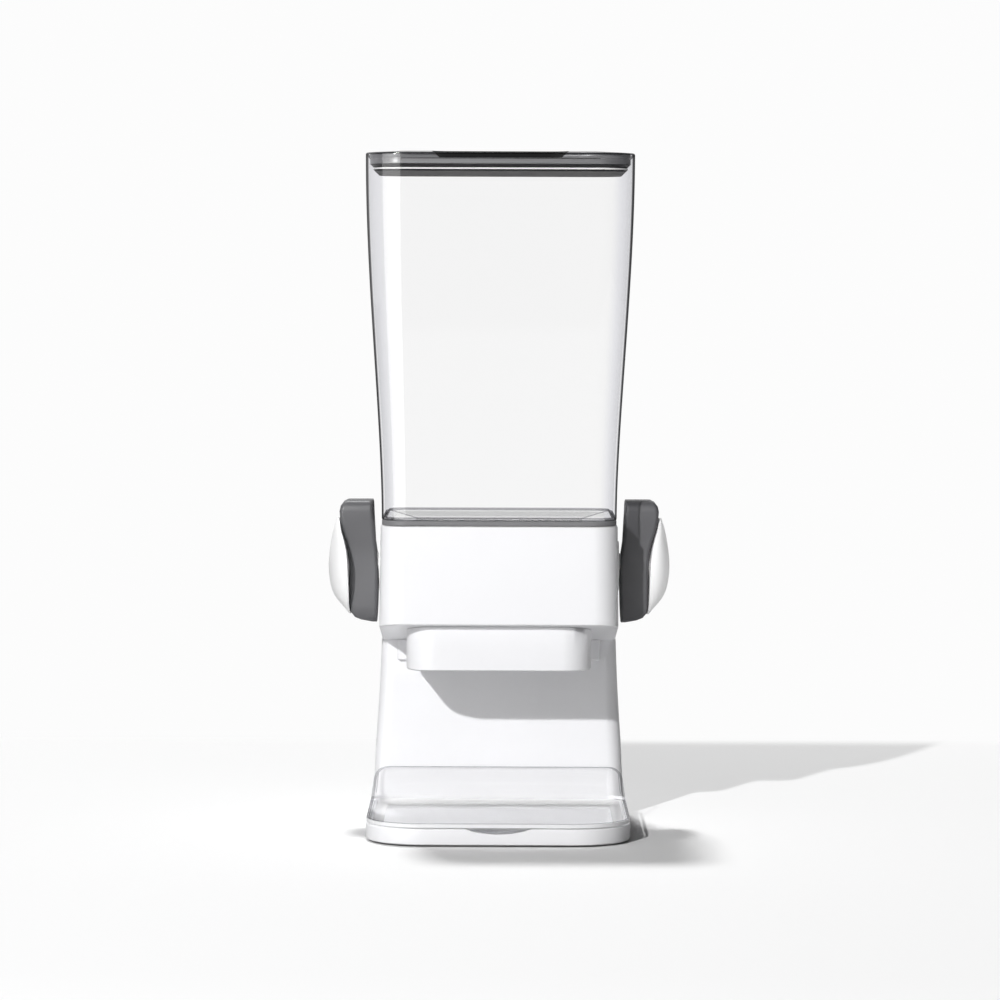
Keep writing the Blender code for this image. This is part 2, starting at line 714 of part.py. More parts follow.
def make_housing(plastic):
    """Open-topped shell with a ledge for the funnel insert, holes for the axle and the spout opening."""
    top = housing_top_plan()
    low = housing_low_plan()
    ledge = HOUSING_TOP - INSERT_PLATE_THICKNESS - CLEARANCE
    stepped = inset(top, WALL + LEDGE_WIDTH)
    rings = [
        sloped_ring(inset(low, EDGE_ROUND), underside),
        sloped_ring(low, above_underside(EDGE_ROUND)),
        sloped_ring(top, HOUSING_TOP - EDGE_ROUND),
        sloped_ring(inset(top, EDGE_ROUND), HOUSING_TOP),
        sloped_ring(inset(top, WALL), HOUSING_TOP),
        sloped_ring(inset(top, WALL), ledge),
        sloped_ring(stepped, ledge),
        sloped_ring(stepped, ledge - LEDGE_DEPTH),
        sloped_ring(inset(top, WALL), ledge - LEDGE_DEPTH - LEDGE_WIDTH),
        sloped_ring(inset(low, WALL), above_underside(WALL)),
    ]
    housing = add("upper_housing", skin(rings), plastic)
    for name, x, y in housing_screw_places():
        floor = HOUSING_FLOOR
        boss = turned(
            [(floor + CLEARANCE, HOUSING_BOSS_RADIUS), (floor + HOUSING_BOSS_HEIGHT, HOUSING_BOSS_RADIUS)],
            steps=SMALL_ROUND_STEPS,
        )
        join(housing, helper(f"housing_boss_{name}", stood_at(boss, x, y)))
        radius = SCREW_RADIUS + CLEARANCE
        hole = turned(
            [(floor - OVERRUN, radius), (floor + HOUSING_BOSS_HEIGHT + OVERRUN, radius)],
            steps=SMALL_ROUND_STEPS,
        )
        cut(housing, helper(f"housing_screw_hole_{name}", stood_at(hole, x, y)))
    opening = inset(spout_plan(), COLLAR_INSET - CLEARANCE)
    tall = underside(SPOUT_FRONT) + WALL + OVERRUN
    cut(housing, helper("spout_opening", block(opening, COLUMN_TOP - OVERRUN, tall)))
    reach = HOUSING_LOW_HALF_WIDTH + OVERRUN
    cut(housing, helper("axle_holes", cylinder_across(-reach, reach, bushing_radius() + CLEARANCE)))
    return housing


def make_housing_screws(steel):
    head_top = COLUMN_TOP - WALL
    for name, x, y in housing_screw_places():
        bottom = head_top - CLEARANCE - HOUSING_SCREW_HEAD_HEIGHT
        made = screw(bottom, HOUSING_SCREW_HEAD_HEIGHT, COLUMN_TOP + HOUSING_BOSS_HEIGHT)
        add(f"housing_screw_{name}", stood_at(made, x, y), steel)


def make_funnel_insert(plastic):
    """Plate that closes the housing, with a throat that reaches into the chamber's inlet."""
    plate = inset(housing_top_plan(), WALL + CLEARANCE)
    plate_low = HOUSING_TOP - INSERT_PLATE_THICKNESS
    throat = throat_plan()
    mouth = box_plan(MOUTH_HALF_WIDTH, MOUTH_HALF_DEPTH, AXLE_Y, FUNNEL_RADIUS)
    rings = [
        ring(throat, THROAT_BOTTOM),
        ring(throat, THROAT_STRAIGHT_TOP),
        ring(inset(mouth, -THROAT_WALL), plate_low),
        ring(plate, plate_low),
        ring(plate, HOUSING_TOP),
        ring(mouth, HOUSING_TOP),
        ring(mouth, plate_low),
        ring(inset(throat, THROAT_WALL), THROAT_STRAIGHT_TOP),
        ring(inset(throat, THROAT_WALL), THROAT_BOTTOM),
    ]
    return add("funnel_insert", skin(rings, closed=True), plastic)


def throat_plan():
    half_width = CHAMBER_HALF_LENGTH - CLEARANCE
    half_depth = INLET_HALF_DEPTH - CLEARANCE
    return box_plan(half_width, half_depth, AXLE_Y, FUNNEL_RADIUS)


# Chamber and outlet


def make_chamber(plastic):
    """Drum round the wheel, open above and below, with end plates that sit on the bushings."""
    end = CHAMBER_HALF_LENGTH + CHAMBER_WALL
    outside = CHAMBER_RADIUS + CHAMBER_WALL
    bore = bushing_radius() + CLEARANCE
    profile = [
        (-end, bore),
        (-end, outside),
        (end, outside),
        (end, bore),
        (CHAMBER_HALF_LENGTH, bore),
        (CHAMBER_HALF_LENGTH, CHAMBER_RADIUS),
        (-CHAMBER_HALF_LENGTH, CHAMBER_RADIUS),
        (-CHAMBER_HALF_LENGTH, bore),
    ]
    drum = lay_across(turned(profile, closed=True, steps=ROUND_STEPS), AXLE_Y, AXLE_Z)
    chamber = add("wheel_chamber", drum, plastic)
    high = AXLE_Z + outside + OVERRUN
    top = box_plan(end + OVERRUN, outside + OVERRUN, AXLE_Y, LEAST_RADIUS)
    low = AXLE_Z - outside - OVERRUN
    cut(chamber, helper("chamber_flat", block(top, CHAMBER_TRIM_TOP, high)))
    cut(chamber, helper("chamber_foot", block(top, low, CHAMBER_TRIM_BOTTOM)))
    inlet = box_plan(CHAMBER_HALF_LENGTH + SLOT_BITE, INLET_HALF_DEPTH, AXLE_Y, LEAST_RADIUS)
    cut(chamber, helper("chamber_inlet", block(inlet, AXLE_Z, high)))
    outlet = box_plan(CHAMBER_HALF_LENGTH - OUTLET_RIM, OUTLET_HALF_DEPTH, AXLE_Y, LEAST_RADIUS)
    cut(chamber, helper("chamber_outlet", block(outlet, low, AXLE_Z)))
    return chamber


def collar_outside():
    return inset(spout_plan(), COLLAR_INSET)


def chute_low_plan():
    return inset(collar_outside(), COLLAR_WALL + CLEARANCE)


def make_chute(plastic):
    """Lofted duct from under the chamber down and forward into the spout's collar."""
    half_width = CHAMBER_HALF_LENGTH + CHAMBER_WALL + CLEARANCE
    inside = box_plan(half_width, CHUTE_TOP_HALF_DEPTH, AXLE_Y, CHUTE_RADIUS)
    outside = inset(inside, -CHUTE_WALL)
    low = chute_low_plan()
    end = above_underside(WALL)
    shoulder = above_underside(WALL + CHUTE_SPIGOT_HEIGHT)
    rings = [
        sloped_ring(low, end),
        sloped_ring(low, shoulder),
        sloped_ring(outside, CHUTE_TOP),
        sloped_ring(inside, CHUTE_TOP),
        sloped_ring(inset(low, CHUTE_WALL), shoulder),
        sloped_ring(inset(low, CHUTE_WALL), end),
    ]
    return add("outlet_chute", skin(rings, closed=True), plastic)


def make_spout(plastic):
    """Skirt below the housing, with a collar that plugs up through the housing's floor."""
    skirt = spout_plan()
    collar = collar_outside()
    collar_inside = inset(collar, COLLAR_WALL)
    skirt_top = above_underside(-CLEARANCE)
    collar_top = above_underside(WALL + COLLAR_HEIGHT)
    rings = [
        sloped_ring(inset(skirt, EDGE_ROUND), SPOUT_BOTTOM),
        sloped_ring(skirt, SPOUT_BOTTOM + EDGE_ROUND),
        sloped_ring(skirt, skirt_top),
        sloped_ring(collar, skirt_top),
        sloped_ring(collar, collar_top),
        sloped_ring(collar_inside, collar_top),
        sloped_ring(collar_inside, above_underside(-SPOUT_WALL)),
        sloped_ring(inset(skirt, SPOUT_WALL), above_underside(-SPOUT_WALL - COLLAR_INSET)),
        sloped_ring(inset(skirt, SPOUT_WALL), SPOUT_BOTTOM),
    ]
    return add("spout", skin(rings, closed=True), plastic)


def make_chute_cover(plastic):
    """Plate behind the spout, which closes its gap to the column."""
    plan = Plan(
        CHUTE_COVER_HALF_WIDTH,
        SPOUT_REAR + CLEARANCE,
        COLUMN_FRONT - CLEARANCE,
        CHUTE_COVER_RADIUS,
        CHUTE_COVER_RADIUS,
    )
    top = above_underside(-CLEARANCE)
    rings = [
        sloped_ring(inset(plan, EDGE_ROUND), SPOUT_BOTTOM),
        sloped_ring(plan, SPOUT_BOTTOM + EDGE_ROUND),
        sloped_ring(plan, top),
    ]
    return add("chute_cover", skin(rings), plastic)


# Wheel and axle


def bushing_bore():
    return SHAFT_RADIUS + CLEARANCE


def bushing_radius():
    return bushing_bore() + BUSHING_WALL


def make_bushings(plastic):
    """Flanged sleeves through the housing's sides that also carry the chamber."""
    flange_inner = HOUSING_LOW_HALF_WIDTH
    start = CHAMBER_HALF_LENGTH + CLEARANCE
    outside = bushing_radius()
    bore = bushing_bore()
    end = flange_inner + FLANGE_THICKNESS
    profile = [(start, outside), (flange_inner, outside), (flange_inner, FLANGE_RADIUS), (end, FLANGE_RADIUS)]
    profile += [(end, bore), (start, bore)]
    for name, side in (("left", -1), ("right", 1)):
        sleeve = lay_across(turned(profile, closed=True), AXLE_Y, AXLE_Z)
        add(f"{name}_bushing", mirrored(sleeve, side), plastic)


def make_shaft(steel, axis):
    ends = [
        (-SHAFT_HALF_LENGTH, SHAFT_RADIUS - EDGE_ROUND),
        (-SHAFT_HALF_LENGTH + EDGE_ROUND, SHAFT_RADIUS),
        (SHAFT_HALF_LENGTH - EDGE_ROUND, SHAFT_RADIUS),
        (SHAFT_HALF_LENGTH, SHAFT_RADIUS - EDGE_ROUND),
    ]
    add("drive_shaft", lay_across(turned(ends), AXLE_Y, AXLE_Z), steel, axis)


def core_radius():
    return bushing_bore() + CORE_WALL


def make_wheel_core(plastic, axis):
    end = WHEEL_HALF_LENGTH + CORE_OVERHANG
    bore = SHAFT_RADIUS + CLEARANCE
    profile = [(-end, bore), (-end, core_radius()), (end, core_radius()), (end, bore)]
    core = lay_across(turned(profile, closed=True), AXLE_Y, AXLE_Z)
    add("wheel_core", core, plastic, axis)


def make_paddles(silicone, axis):
    """Soft sleeve with tapered blades, drawn as one outline round the bore and extruded along the axle."""
    bore = core_radius() + CLEARANCE
    root = bore + SLEEVE_WALL
    outline = []
    bore_line = []
    for blade in range(BLADE_COUNT):
        middle = 2 * math.pi * blade / BLADE_COUNT + math.pi / BLADE_COUNT
        root_turn = math.asin(BLADE_ROOT_HALF_THICKNESS / root)
        tip_turn = math.asin(BLADE_TIP_HALF_THICKNESS / WHEEL_RADIUS)
        gap = 2 * math.pi / BLADE_COUNT - 2 * root_turn
        places = [
            (middle - root_turn, root),
            (middle - tip_turn, WHEEL_RADIUS),
            (middle + tip_turn, WHEEL_RADIUS),
            (middle + root_turn, root),
        ]
        for step in range(1, CORNER_STEPS):
            places.append((middle + root_turn + gap * step / CORNER_STEPS, root))
        for turn, radius in places:
            outline.append((radius * math.cos(turn), radius * math.sin(turn)))
            bore_line.append((bore * math.cos(turn), bore * math.sin(turn)))
    rings = []
    for line, end in (
        (outline, -WHEEL_HALF_LENGTH),
        (outline, WHEEL_HALF_LENGTH),
        (bore_line, WHEEL_HALF_LENGTH),
        (bore_line, -WHEEL_HALF_LENGTH),
    ):
        rings.append([Vector((x, y, end)) for x, y in line])
    wheel = lay_across(skin(rings, closed=True), AXLE_Y, AXLE_Z)
    add("paddle_wheel", wheel, silicone, axis)


# Dials


def grip_inner(share):
    return GRIP_INNER + GRIP_INNER_LEAN * share


def grip_outer(share):
    return GRIP_WAIST + GRIP_FLARE * share


def grip_outer_at(height):
    """X of the grip's outer side at a height, between its sections."""
    share = (height - GRIP_BOTTOM) / (GRIP_TOP - GRIP_BOTTOM)
    rows = GRIP_SECTION_SHARES
    for low, high in zip(rows, rows[1:]):
        if share <= high[0]:
            along = (share - low[0]) / (high[0] - low[0])
            return grip_outer(between(low[2], high[2], max(along, 0)))
    return grip_outer(rows[-1][2])


def stem_radius():
    return bushing_bore() + DIAL_STEM_WALL


def make_grip(name, side, rubber, axis):
    """Waisted soft bar: leaning inner side, flared top, and a slope at the bottom."""
    rings = []
    for height_share, inner_share, outer_share, depth_share in GRIP_SECTION_SHARES:
        inner = grip_inner(inner_share)
        outer = grip_outer(outer_share)
        half_width = (outer - inner) / 2
        corner = min(GRIP_CORNER, half_width / 2)
        section = box_plan(half_width, GRIP_HALF_DEPTH * depth_share, AXLE_Y, corner)
        shift = Vector(((inner + outer) / 2, 0, 0))
        height = between(GRIP_BOTTOM, GRIP_TOP, height_share)
        rings.append([point + shift for point in ring(section, height, corners=GRIP_CORNER_STEPS)])
    grip = add(f"{name}_grip", mirrored(skin(rings), side), rubber, axis)
    bore = cylinder_across(GRIP_INNER - OVERRUN, GRIP_WAIST + GRIP_FLARE + OVERRUN, stem_radius() + CLEARANCE)
    cut(grip, helper(f"{name}_grip_bore", mirrored(bore, side)))


def make_dial(name, side, plastic, axis):
    """Egg-shaped shell over the grip's outer side, with a stem through the grip onto the shaft."""
    rings = []
    for height_share, reach_share, depth_share in DIAL_SECTION_SHARES:
        height = AXLE_Z + DIAL_HALF_HEIGHT * height_share
        flat = grip_outer_at(height) + DIAL_GAP
        rim = flat + DIAL_RIM
        bulge = max(GRIP_WAIST + DIAL_REACH * reach_share - rim, DIAL_RIM)
        half_depth = DIAL_HALF_DEPTH * depth_share
        section = [Vector((flat, AXLE_Y - half_depth, height))]
        for step in range(DIAL_ARC_STEPS + 1):
            turn = math.pi * (step / DIAL_ARC_STEPS - 1 / 2)
            x = rim + bulge * math.cos(turn)
            section.append(Vector((x, AXLE_Y + half_depth * math.sin(turn), height)))
        section.append(Vector((flat, AXLE_Y + half_depth, height)))
        rings.append(section)
    dial = add(f"{name}_dial", mirrored(skin(rings, across=False), side), plastic, axis)
    waist = grip_outer_at(AXLE_Z) + DIAL_GAP
    start = HOUSING_LOW_HALF_WIDTH + FLANGE_THICKNESS + CLEARANCE
    stem = cylinder_across(start, waist + DIAL_RIM, stem_radius())
    join(dial, helper(f"{name}_dial_stem", mirrored(stem, side)))
    bore = cylinder_across(start - OVERRUN, SHAFT_HALF_LENGTH + CLEARANCE, bushing_bore())
    cut(dial, helper(f"{name}_dial_bore", mirrored(bore, side)))


# Bin and seal


def make_bin(clear, lift):
    """Tapered clear bin with a sloping floor and a collar at its outlet, skinned as one closed loop."""
    collar = collar_plan()
    seat = HOUSING_TOP + CLEARANCE
    foot = inset(bin_plan(BIN_FOOT_BOTTOM), EDGE_ROUND)
    inner_seal = inset(seal_plan(), SEAL_WIDTH + CLEARANCE)
    rings = [
        ring(collar, BIN_COLLAR_BOTTOM),
        ring(collar, seat),
        ring(inner_seal, seat),
        ring(inner_seal, BIN_FOOT_BOTTOM),
        ring(foot, BIN_FOOT_BOTTOM),
    ]
    low = BIN_FOOT_BOTTOM + EDGE_ROUND
    levels = [between(low, BIN_TOP - EDGE_ROUND, step / BIN_LEVELS) for step in range(BIN_LEVELS + 1)]
    rings += [ring(bin_plan(level), level) for level in levels]
    rings.append(ring(inset(bin_plan(BIN_TOP), EDGE_ROUND), BIN_TOP))
    rings.append(ring(inset(bin_plan(BIN_TOP), CLEAR_WALL), BIN_TOP))
    floor_edge = BIN_FOOT_BOTTOM + CLEAR_WALL + BIN_FLOOR_RISE + BIN_FLOOR_FILLET
    inside = [level for level in reversed(levels) if level > floor_edge + BIN_FLOOR_FILLET]
    rings += [ring(inset(bin_plan(level), CLEAR_WALL), level) for level in inside]
    rings.append(ring(inset(bin_plan(floor_edge), CLEAR_WALL), floor_edge))
    floor = inset(bin_plan(floor_edge), CLEAR_WALL + BIN_FLOOR_FILLET)
    rings.append(ring(floor, floor_edge - BIN_FLOOR_FILLET))
    outlet = inset(collar, CLEAR_WALL)
    rings.append(ring(outlet, BIN_FOOT_BOTTOM))
    rings.append(ring(outlet, BIN_COLLAR_BOTTOM))
    add("bin", skin(rings, closed=True), clear, lift)


def seal_plan():
    return inset(bin_plan(BIN_FOOT_BOTTOM), SEAL_INSET)


def make_seal(rubber, lift):
    """Grey ring under the bin's wall, seen as a band between the bin and the housing."""
    outer = seal_plan()
    inner = inset(outer, SEAL_WIDTH)
    bottom = HOUSING_TOP + CLEARANCE
    top = BIN_FOOT_BOTTOM - CLEARANCE
    rings = [ring(outer, bottom), ring(outer, top), ring(inner, top), ring(inner, bottom)]
    add("bin_seal", skin(rings, closed=True), rubber, lift)


# Lid


def lid_plan():
    return inset(bin_plan(BIN_TOP), CLEAR_WALL + 2 * CLEARANCE)


def make_lid_cover(plastic, lift):
    """Slightly crowned top with a short skirt, a shadow groove round it and a finger scoop in front."""
    plan = lid_plan()
    groove = inset(plan, LID_GROOVE_DEPTH)
    inside = inset(plan, LID_WALL)
    ceiling = LID_TOP - LID_PLATE_THICKNESS
    rings = [
        ring(inset(plan, LID_CROWN_INSET), LID_CREST),
        ring(inset(plan, EDGE_ROUND), LID_TOP),
        ring(plan, LID_TOP - EDGE_ROUND),
        ring(plan, LID_GROOVE_Z + LID_GROOVE_HALF_HEIGHT),
        ring(groove, LID_GROOVE_Z),
        ring(plan, LID_GROOVE_Z - LID_GROOVE_HALF_HEIGHT),
        ring(plan, LID_COVER_BOTTOM),
        ring(inside, LID_COVER_BOTTOM),
        ring(inside, ceiling),
    ]
    cover = add("lid_cover", skin(rings), plastic, lift)
    front = plan.front - OVERRUN
    rear = plan.front + SCOOP_LENGTH
    low = Plan(SCOOP_LOW_HALF_WIDTH, front, rear, LEAST_RADIUS, SCOOP_RADIUS)
    high = Plan(SCOOP_TOP_HALF_WIDTH, front, rear + SCOOP_DEPTH, LEAST_RADIUS, SCOOP_RADIUS)
    scoop = skin([ring(low, LID_TOP - SCOOP_DEPTH), ring(high, LID_CREST + EDGE_ROUND)])
    cut(cover, helper("finger_scoop", scoop))


def make_lid_plug(plastic, lift):
    """Shallow pan under the cover, with a groove that holds the gasket."""
    plan = lid_plan()
    high = inset(plan, PLUG_INSET_TOP)
    low = inset(plan, PLUG_INSET_LOW)
    seat = inset(plan, PLUG_INSET_LOW + GASKET_DEPTH)
    inside = inset(plan, PLUG_INSET_LOW + GASKET_DEPTH + LID_WALL)
    top = LID_COVER_BOTTOM - CLEARANCE
    rings = [
        ring(inset(low, EDGE_ROUND), PLUG_BOTTOM),
        ring(low, GASKET_BOTTOM),
        ring(seat, GASKET_BOTTOM),
        ring(seat, GASKET_TOP + CLEARANCE),
        ring(low, GASKET_TOP + CLEARANCE),
        ring(high, top),
        ring(inside, top),
        ring(inside, PLUG_BOTTOM + PLUG_FLOOR),
    ]
    add("lid_plug", skin(rings), plastic, lift)


def make_gasket(silicone, lift):
    """Pale silicone ring round the plug."""
    outer = inset(lid_plan(), PLUG_INSET_LOW - GASKET_PROUD)
    inner = inset(lid_plan(), PLUG_INSET_LOW + GASKET_DEPTH - CLEARANCE)
    bottom = GASKET_BOTTOM + CLEARANCE
    rings = [ring(outer, bottom), ring(outer, GASKET_TOP), ring(inner, GASKET_TOP), ring(inner, bottom)]
    add("lid_gasket", skin(rings, closed=True), silicone, lift)


# Tray


def tray_rim(y):
    """Height of the tray's rim: level round the front, rising to the splash wall at the column."""
    rear = COLUMN_FRONT - TRAY_EDGE_GAP
    share = min(max((y - rear + TRAY_SPLASH_RUN) / TRAY_SPLASH_RUN, 0), 1)
    return between(TRAY_RIM, TRAY_SPLASH_TOP, share * share * (3 - 2 * share))


def leaning(points):
    """Draws the raised part of the rim in a little at its sides."""
    for point in points:
        rise = (point.z - TRAY_RIM) / (TRAY_SPLASH_TOP - TRAY_RIM)
        point.x *= 1 - TRAY_LEAN_SHARE * max(rise, 0)
    return points


def make_tray(clear, lift):
    """Clear dish whose rim laps the base wall and whose back runs up the column."""
    rear = COLUMN_FRONT - TRAY_EDGE_GAP
    half_width = BASE_HALF_WIDTH - TRAY_EDGE_GAP
    plan = Plan(half_width, BASE_FRONT + TRAY_EDGE_GAP, rear, TRAY_FRONT_RADIUS, TRAY_REAR_RADIUS)
    step_in = inset(recess_plan(), CLEARANCE + TRAY_EDGE_GAP)
    floor_low = DECK_TOP + CLEARANCE
    floor_top = floor_low + TRAY_FLOOR_THICKNESS
    dish = Plan(step_in.half_width, step_in.front, rear, step_in.front_radius, TRAY_REAR_RADIUS)
    low = narrowed(dish, TRAY_WALL_INSET)
    wall = Plan(
        plan.half_width - TRAY_WALL,
        plan.front + TRAY_WALL,
        rear - TRAY_WALL,
        plan.front_radius,
        plan.rear_radius,
    )
    bottom = narrowed(wall, TRAY_WALL_INSET)
    floor = narrowed(wall, TRAY_FLOOR_INSET)
    rings = [
        curved_ring(low, floor_low),
        curved_ring(dish, TRAY_RIM_UNDERSIDE),
        curved_ring(plan, TRAY_RIM_UNDERSIDE),
        curved_ring(plan, TRAY_RIM_UNDERSIDE + EDGE_ROUND),
        leaning(curved_ring(plan, tray_rim)),
        leaning(curved_ring(inset(plan, TRAY_WALL), tray_rim)),
        curved_ring(bottom, TRAY_RIM_UNDERSIDE - EDGE_ROUND),
        curved_ring(floor, floor_top),
    ]
    add("crumb_tray", skin(rings), clear, lift)


def narrowed(plan, by):
    """Moved in at the front and sides, and less at the rear."""
    moved = inset(plan, by)
    rear = plan.rear - by * TRAY_REAR_SHARE
    return Plan(moved.half_width, moved.front, rear, moved.front_radius, plan.rear_radius)


# The whole dispenser


def pivot(name, place):
    """An empty on a joint's axis, which carries what moves with it."""
    empty = bpy.data.objects.new(name, None)
    empty.location = place
    bpy.context.scene.collection.objects.link(empty)
    return empty


def main():
    for thing in list(bpy.data.objects):
        bpy.data.objects.remove(thing)

    white = material("white plastic", (0.86, 0.86, 0.87), 0.28)
    inner_white = material("inner white plastic", (0.80, 0.80, 0.80), 0.45)
    dial_white = material("dial white plastic", (0.88, 0.88, 0.88), 0.35)
    clear = material("clear plastic", (0.97, 0.98, 0.98), 0.05, transmission=0.95, alpha=0.35)
    charcoal = material("charcoal plastic", (0.045, 0.045, 0.048), 0.35)
    grey_rubber = material("grey soft grip", (0.17, 0.17, 0.175), 0.62)
    seal_grey = material("grey seal", (0.22, 0.22, 0.22), 0.55)
    silicone = material("pale silicone", (0.75, 0.75, 0.74), 0.5)
    foot_rubber = material("foot rubber", (0.30, 0.30, 0.30), 0.7)
    steel = material("steel", (0.55, 0.55, 0.56), 0.3, metallic=1.0)

    axis = pivot("wheel_axis", (0, AXLE_Y, AXLE_Z))
    bin_lift = pivot("bin_lift", (0, AXLE_Y, BIN_FOOT_BOTTOM))
    lid_lift = pivot("lid_lift", (0, AXLE_Y, LID_TOP))
    tray_lift = pivot("tray_lift", (0, COLUMN_FRONT, TRAY_RIM))
    bpy.context.view_layer.update()

    make_stand(white)
    make_base_plate(inner_white)
    make_base_screws(steel)
    make_feet(foot_rubber)
    make_housing(white)
    make_housing_screws(steel)
    make_funnel_insert(inner_white)
    make_chamber(inner_white)
    make_chute(inner_white)
    make_spout(white)
    make_chute_cover(white)
    make_bushings(inner_white)

    make_shaft(steel, axis)
    make_wheel_core(inner_white, axis)
    make_paddles(silicone, axis)
    for name, side in (("left", -1), ("right", 1)):
        make_grip(name, side, grey_rubber, axis)
        make_dial(name, side, dial_white, axis)

    make_bin(clear, bin_lift)
    make_seal(seal_grey, bin_lift)
    make_lid_cover(charcoal, lid_lift)
    make_lid_plug(charcoal, lid_lift)
    make_gasket(silicone, lid_lift)
    make_tray(clear, tray_lift)


main()
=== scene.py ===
"""Looks of the cereal dispenser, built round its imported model.

Metres, in the model's own frame: X across, Y from front to back, Z up. A name that ends in MM is in
millimetres, one in DEGREES in degrees, and one in SHARE or SHARES is a part of a whole."""

import json
import math
from collections import namedtuple
import bmesh
import bpy
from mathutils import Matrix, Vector


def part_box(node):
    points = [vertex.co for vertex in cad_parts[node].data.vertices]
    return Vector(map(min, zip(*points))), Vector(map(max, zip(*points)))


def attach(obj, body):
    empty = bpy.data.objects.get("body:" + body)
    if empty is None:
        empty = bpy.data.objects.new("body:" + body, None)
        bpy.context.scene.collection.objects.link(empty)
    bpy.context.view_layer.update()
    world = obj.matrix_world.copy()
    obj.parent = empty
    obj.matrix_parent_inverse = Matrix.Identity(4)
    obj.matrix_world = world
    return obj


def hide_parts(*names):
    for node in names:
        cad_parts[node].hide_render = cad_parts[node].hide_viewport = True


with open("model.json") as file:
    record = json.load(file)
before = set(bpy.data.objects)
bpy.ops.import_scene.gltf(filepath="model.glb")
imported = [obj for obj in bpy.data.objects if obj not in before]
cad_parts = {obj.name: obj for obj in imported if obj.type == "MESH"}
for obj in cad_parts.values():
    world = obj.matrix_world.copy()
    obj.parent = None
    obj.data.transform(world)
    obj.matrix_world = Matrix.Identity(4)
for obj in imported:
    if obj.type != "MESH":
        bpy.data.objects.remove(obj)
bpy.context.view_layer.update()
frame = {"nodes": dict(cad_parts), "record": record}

# Gap that the model keeps between neighbours
CLEARANCE = 0.0003

# Sizes of the clear bin, where its box and its neighbours don't give them
CLEAR_WALL = 0.0022
SEAL_WIDTH = 0.0059
SEAL_INSET = 0.0001
BIN_TOP_RADIUS = 0.023
BIN_LOW_RADIUS = 0.016

# The bin's wall flares in this many levels, and a power under 1 makes it start early
BIN_LEVELS = 28
FLARE_POWER = 0.9

# The bin's floor: its web at the wall, how far it falls to the outlet, and the fillet round it
BIN_FLOOR_WEB = 0.0012
BIN_FLOOR_FALL = 0.0030
BIN_FLOOR_FILLET = 0.0010

# The bin's outlet, whose middle is over the paddle wheel's axle
OUTLET_HALF_WIDTH = 0.0571
OUTLET_HALF_DEPTH = 0.0221
OUTLET_RADIUS = 0.004
AXLE_Y = 0.008

# Sizes of the clear tray, where its box doesn't give them
TRAY_FRONT_RADIUS = 0.0365
TRAY_REAR_RADIUS = 0.012
TRAY_RIM_LOW = 0.0125
TRAY_RIM = 0.0150
TRAY_SWEEP = 0.026
TRAY_STEP = 0.0042
TRAY_SLOPE = 0.0058
TRAY_WALL = 0.0020
TRAY_BEND = 0.0085
TRAY_FLOOR = 0.0018

# How much the tray's back narrows to its top, and where rings divide its wall, outside and inside
TRAY_LEAN_SHARE = 0.026
TRAY_OUTSIDE_SHARES = (0, 0.3, 0.6, 0.9)
TRAY_INSIDE_SHARES = (0.75, 0.5, 0.25)

# Least lean of a tray's face, down and to the front, at which it takes the painted grey shade of the edge
# line
LINE_DOWN_SHARE = 0.1
LINE_FRONT_SHARE = 0.3

# Where the lid's finger scoop lies, and so where its painted shade goes: half width, length and depth
SCOOP_HALF_WIDTH = 0.0465
SCOOP_LENGTH = 0.031
SCOOP_DEPTH = 0.0040

# How much of the gap over the stand's column its shown top fills
COLUMN_RISE_SHARE = 0.9

# How finely outlines and edges are divided, and the least corner radius
CORNER_STEPS = 14
SIDE_STEPS = 10
TRAY_SIDE_STEPS = 36
EDGE_STEPS = 4
LEAST_RADIUS = 0.0006

# How a solid becomes a smooth piece: points this near are one, and faces this near to flat, in radians,
# are joined. An edge sharper than its limit stays sharp.
WELD_DISTANCE = 0.000002
FLAT_ANGLE = 0.005
COPY_SHARP_DEGREES = 50
SHELL_SHARP_DEGREES = 35

# How strongly the lid's shading follows its broad faces, where 50 is the usual
LID_NORMAL_WEIGHT = 100

# The dials' domes: triangles that meet under the first angle pair up, edges over the second stay creased,
# and each face is divided as often as the levels say
DOME_PAIR_DEGREES = 25
DOME_CREASE_DEGREES = 40
DOME_LEVELS = 2


# Colour and shader helpers


def linear(hex_colour):
    """Turns an sRGB hex value into the linear colour that a shader takes."""
    colour = []
    for start in (1, 3, 5):
        share = int(hex_colour[start : start + 2], 16) / 255
        colour.append(share / 12.92 if share <= 0.04045 else ((share + 0.055) / 1.055) ** 2.4)
    return (*colour, 1.0)


def per_mm(size):
    """Texture scale that gives a pattern of this size in millimetres."""
    return 1000 / size


def add_node(tree, kind, values=None, links=None, **fields):
    """Adds one node, sets its fields and sockets, and links its inputs. A socket whose name isn't its own
    is given by its number."""
    node = tree.nodes.new(kind)
    for field, value in fields.items():
        setattr(node, field, value)
    for socket, value in (values or {}).items():
        node.inputs[socket].default_value = value
    for socket, source in (links or {}).items():
        tree.links.new(source, node.inputs[socket])
    return node


# The Mix node's sockets that share a name, by their numbers: for plain values and for colours
LOW = 2
HIGH = 3
LOW_COLOUR = 6
HIGH_COLOUR = 7
MIXED_COLOUR = 2


def blank_material(name):
    """A new material and its empty node tree."""
    made = bpy.data.materials.new(name)
    made.use_nodes = True
    made.node_tree.nodes.clear()
    return made, made.node_tree


# Moulded plastics and rubbers

# The melt's flow leaves patches a shade apart, and the mould's polish varies over a few millimetres.
# Detail is how many finer copies each pattern holds.
FLOW_MM = 28
FLOW_DETAIL = 3.0
POLISH_MM = 6
POLISH_DETAIL = 4.0
POLISH_SPREAD = 0.05
PEEL_DETAIL = 2.0
PEEL_STRENGTH = 0.6


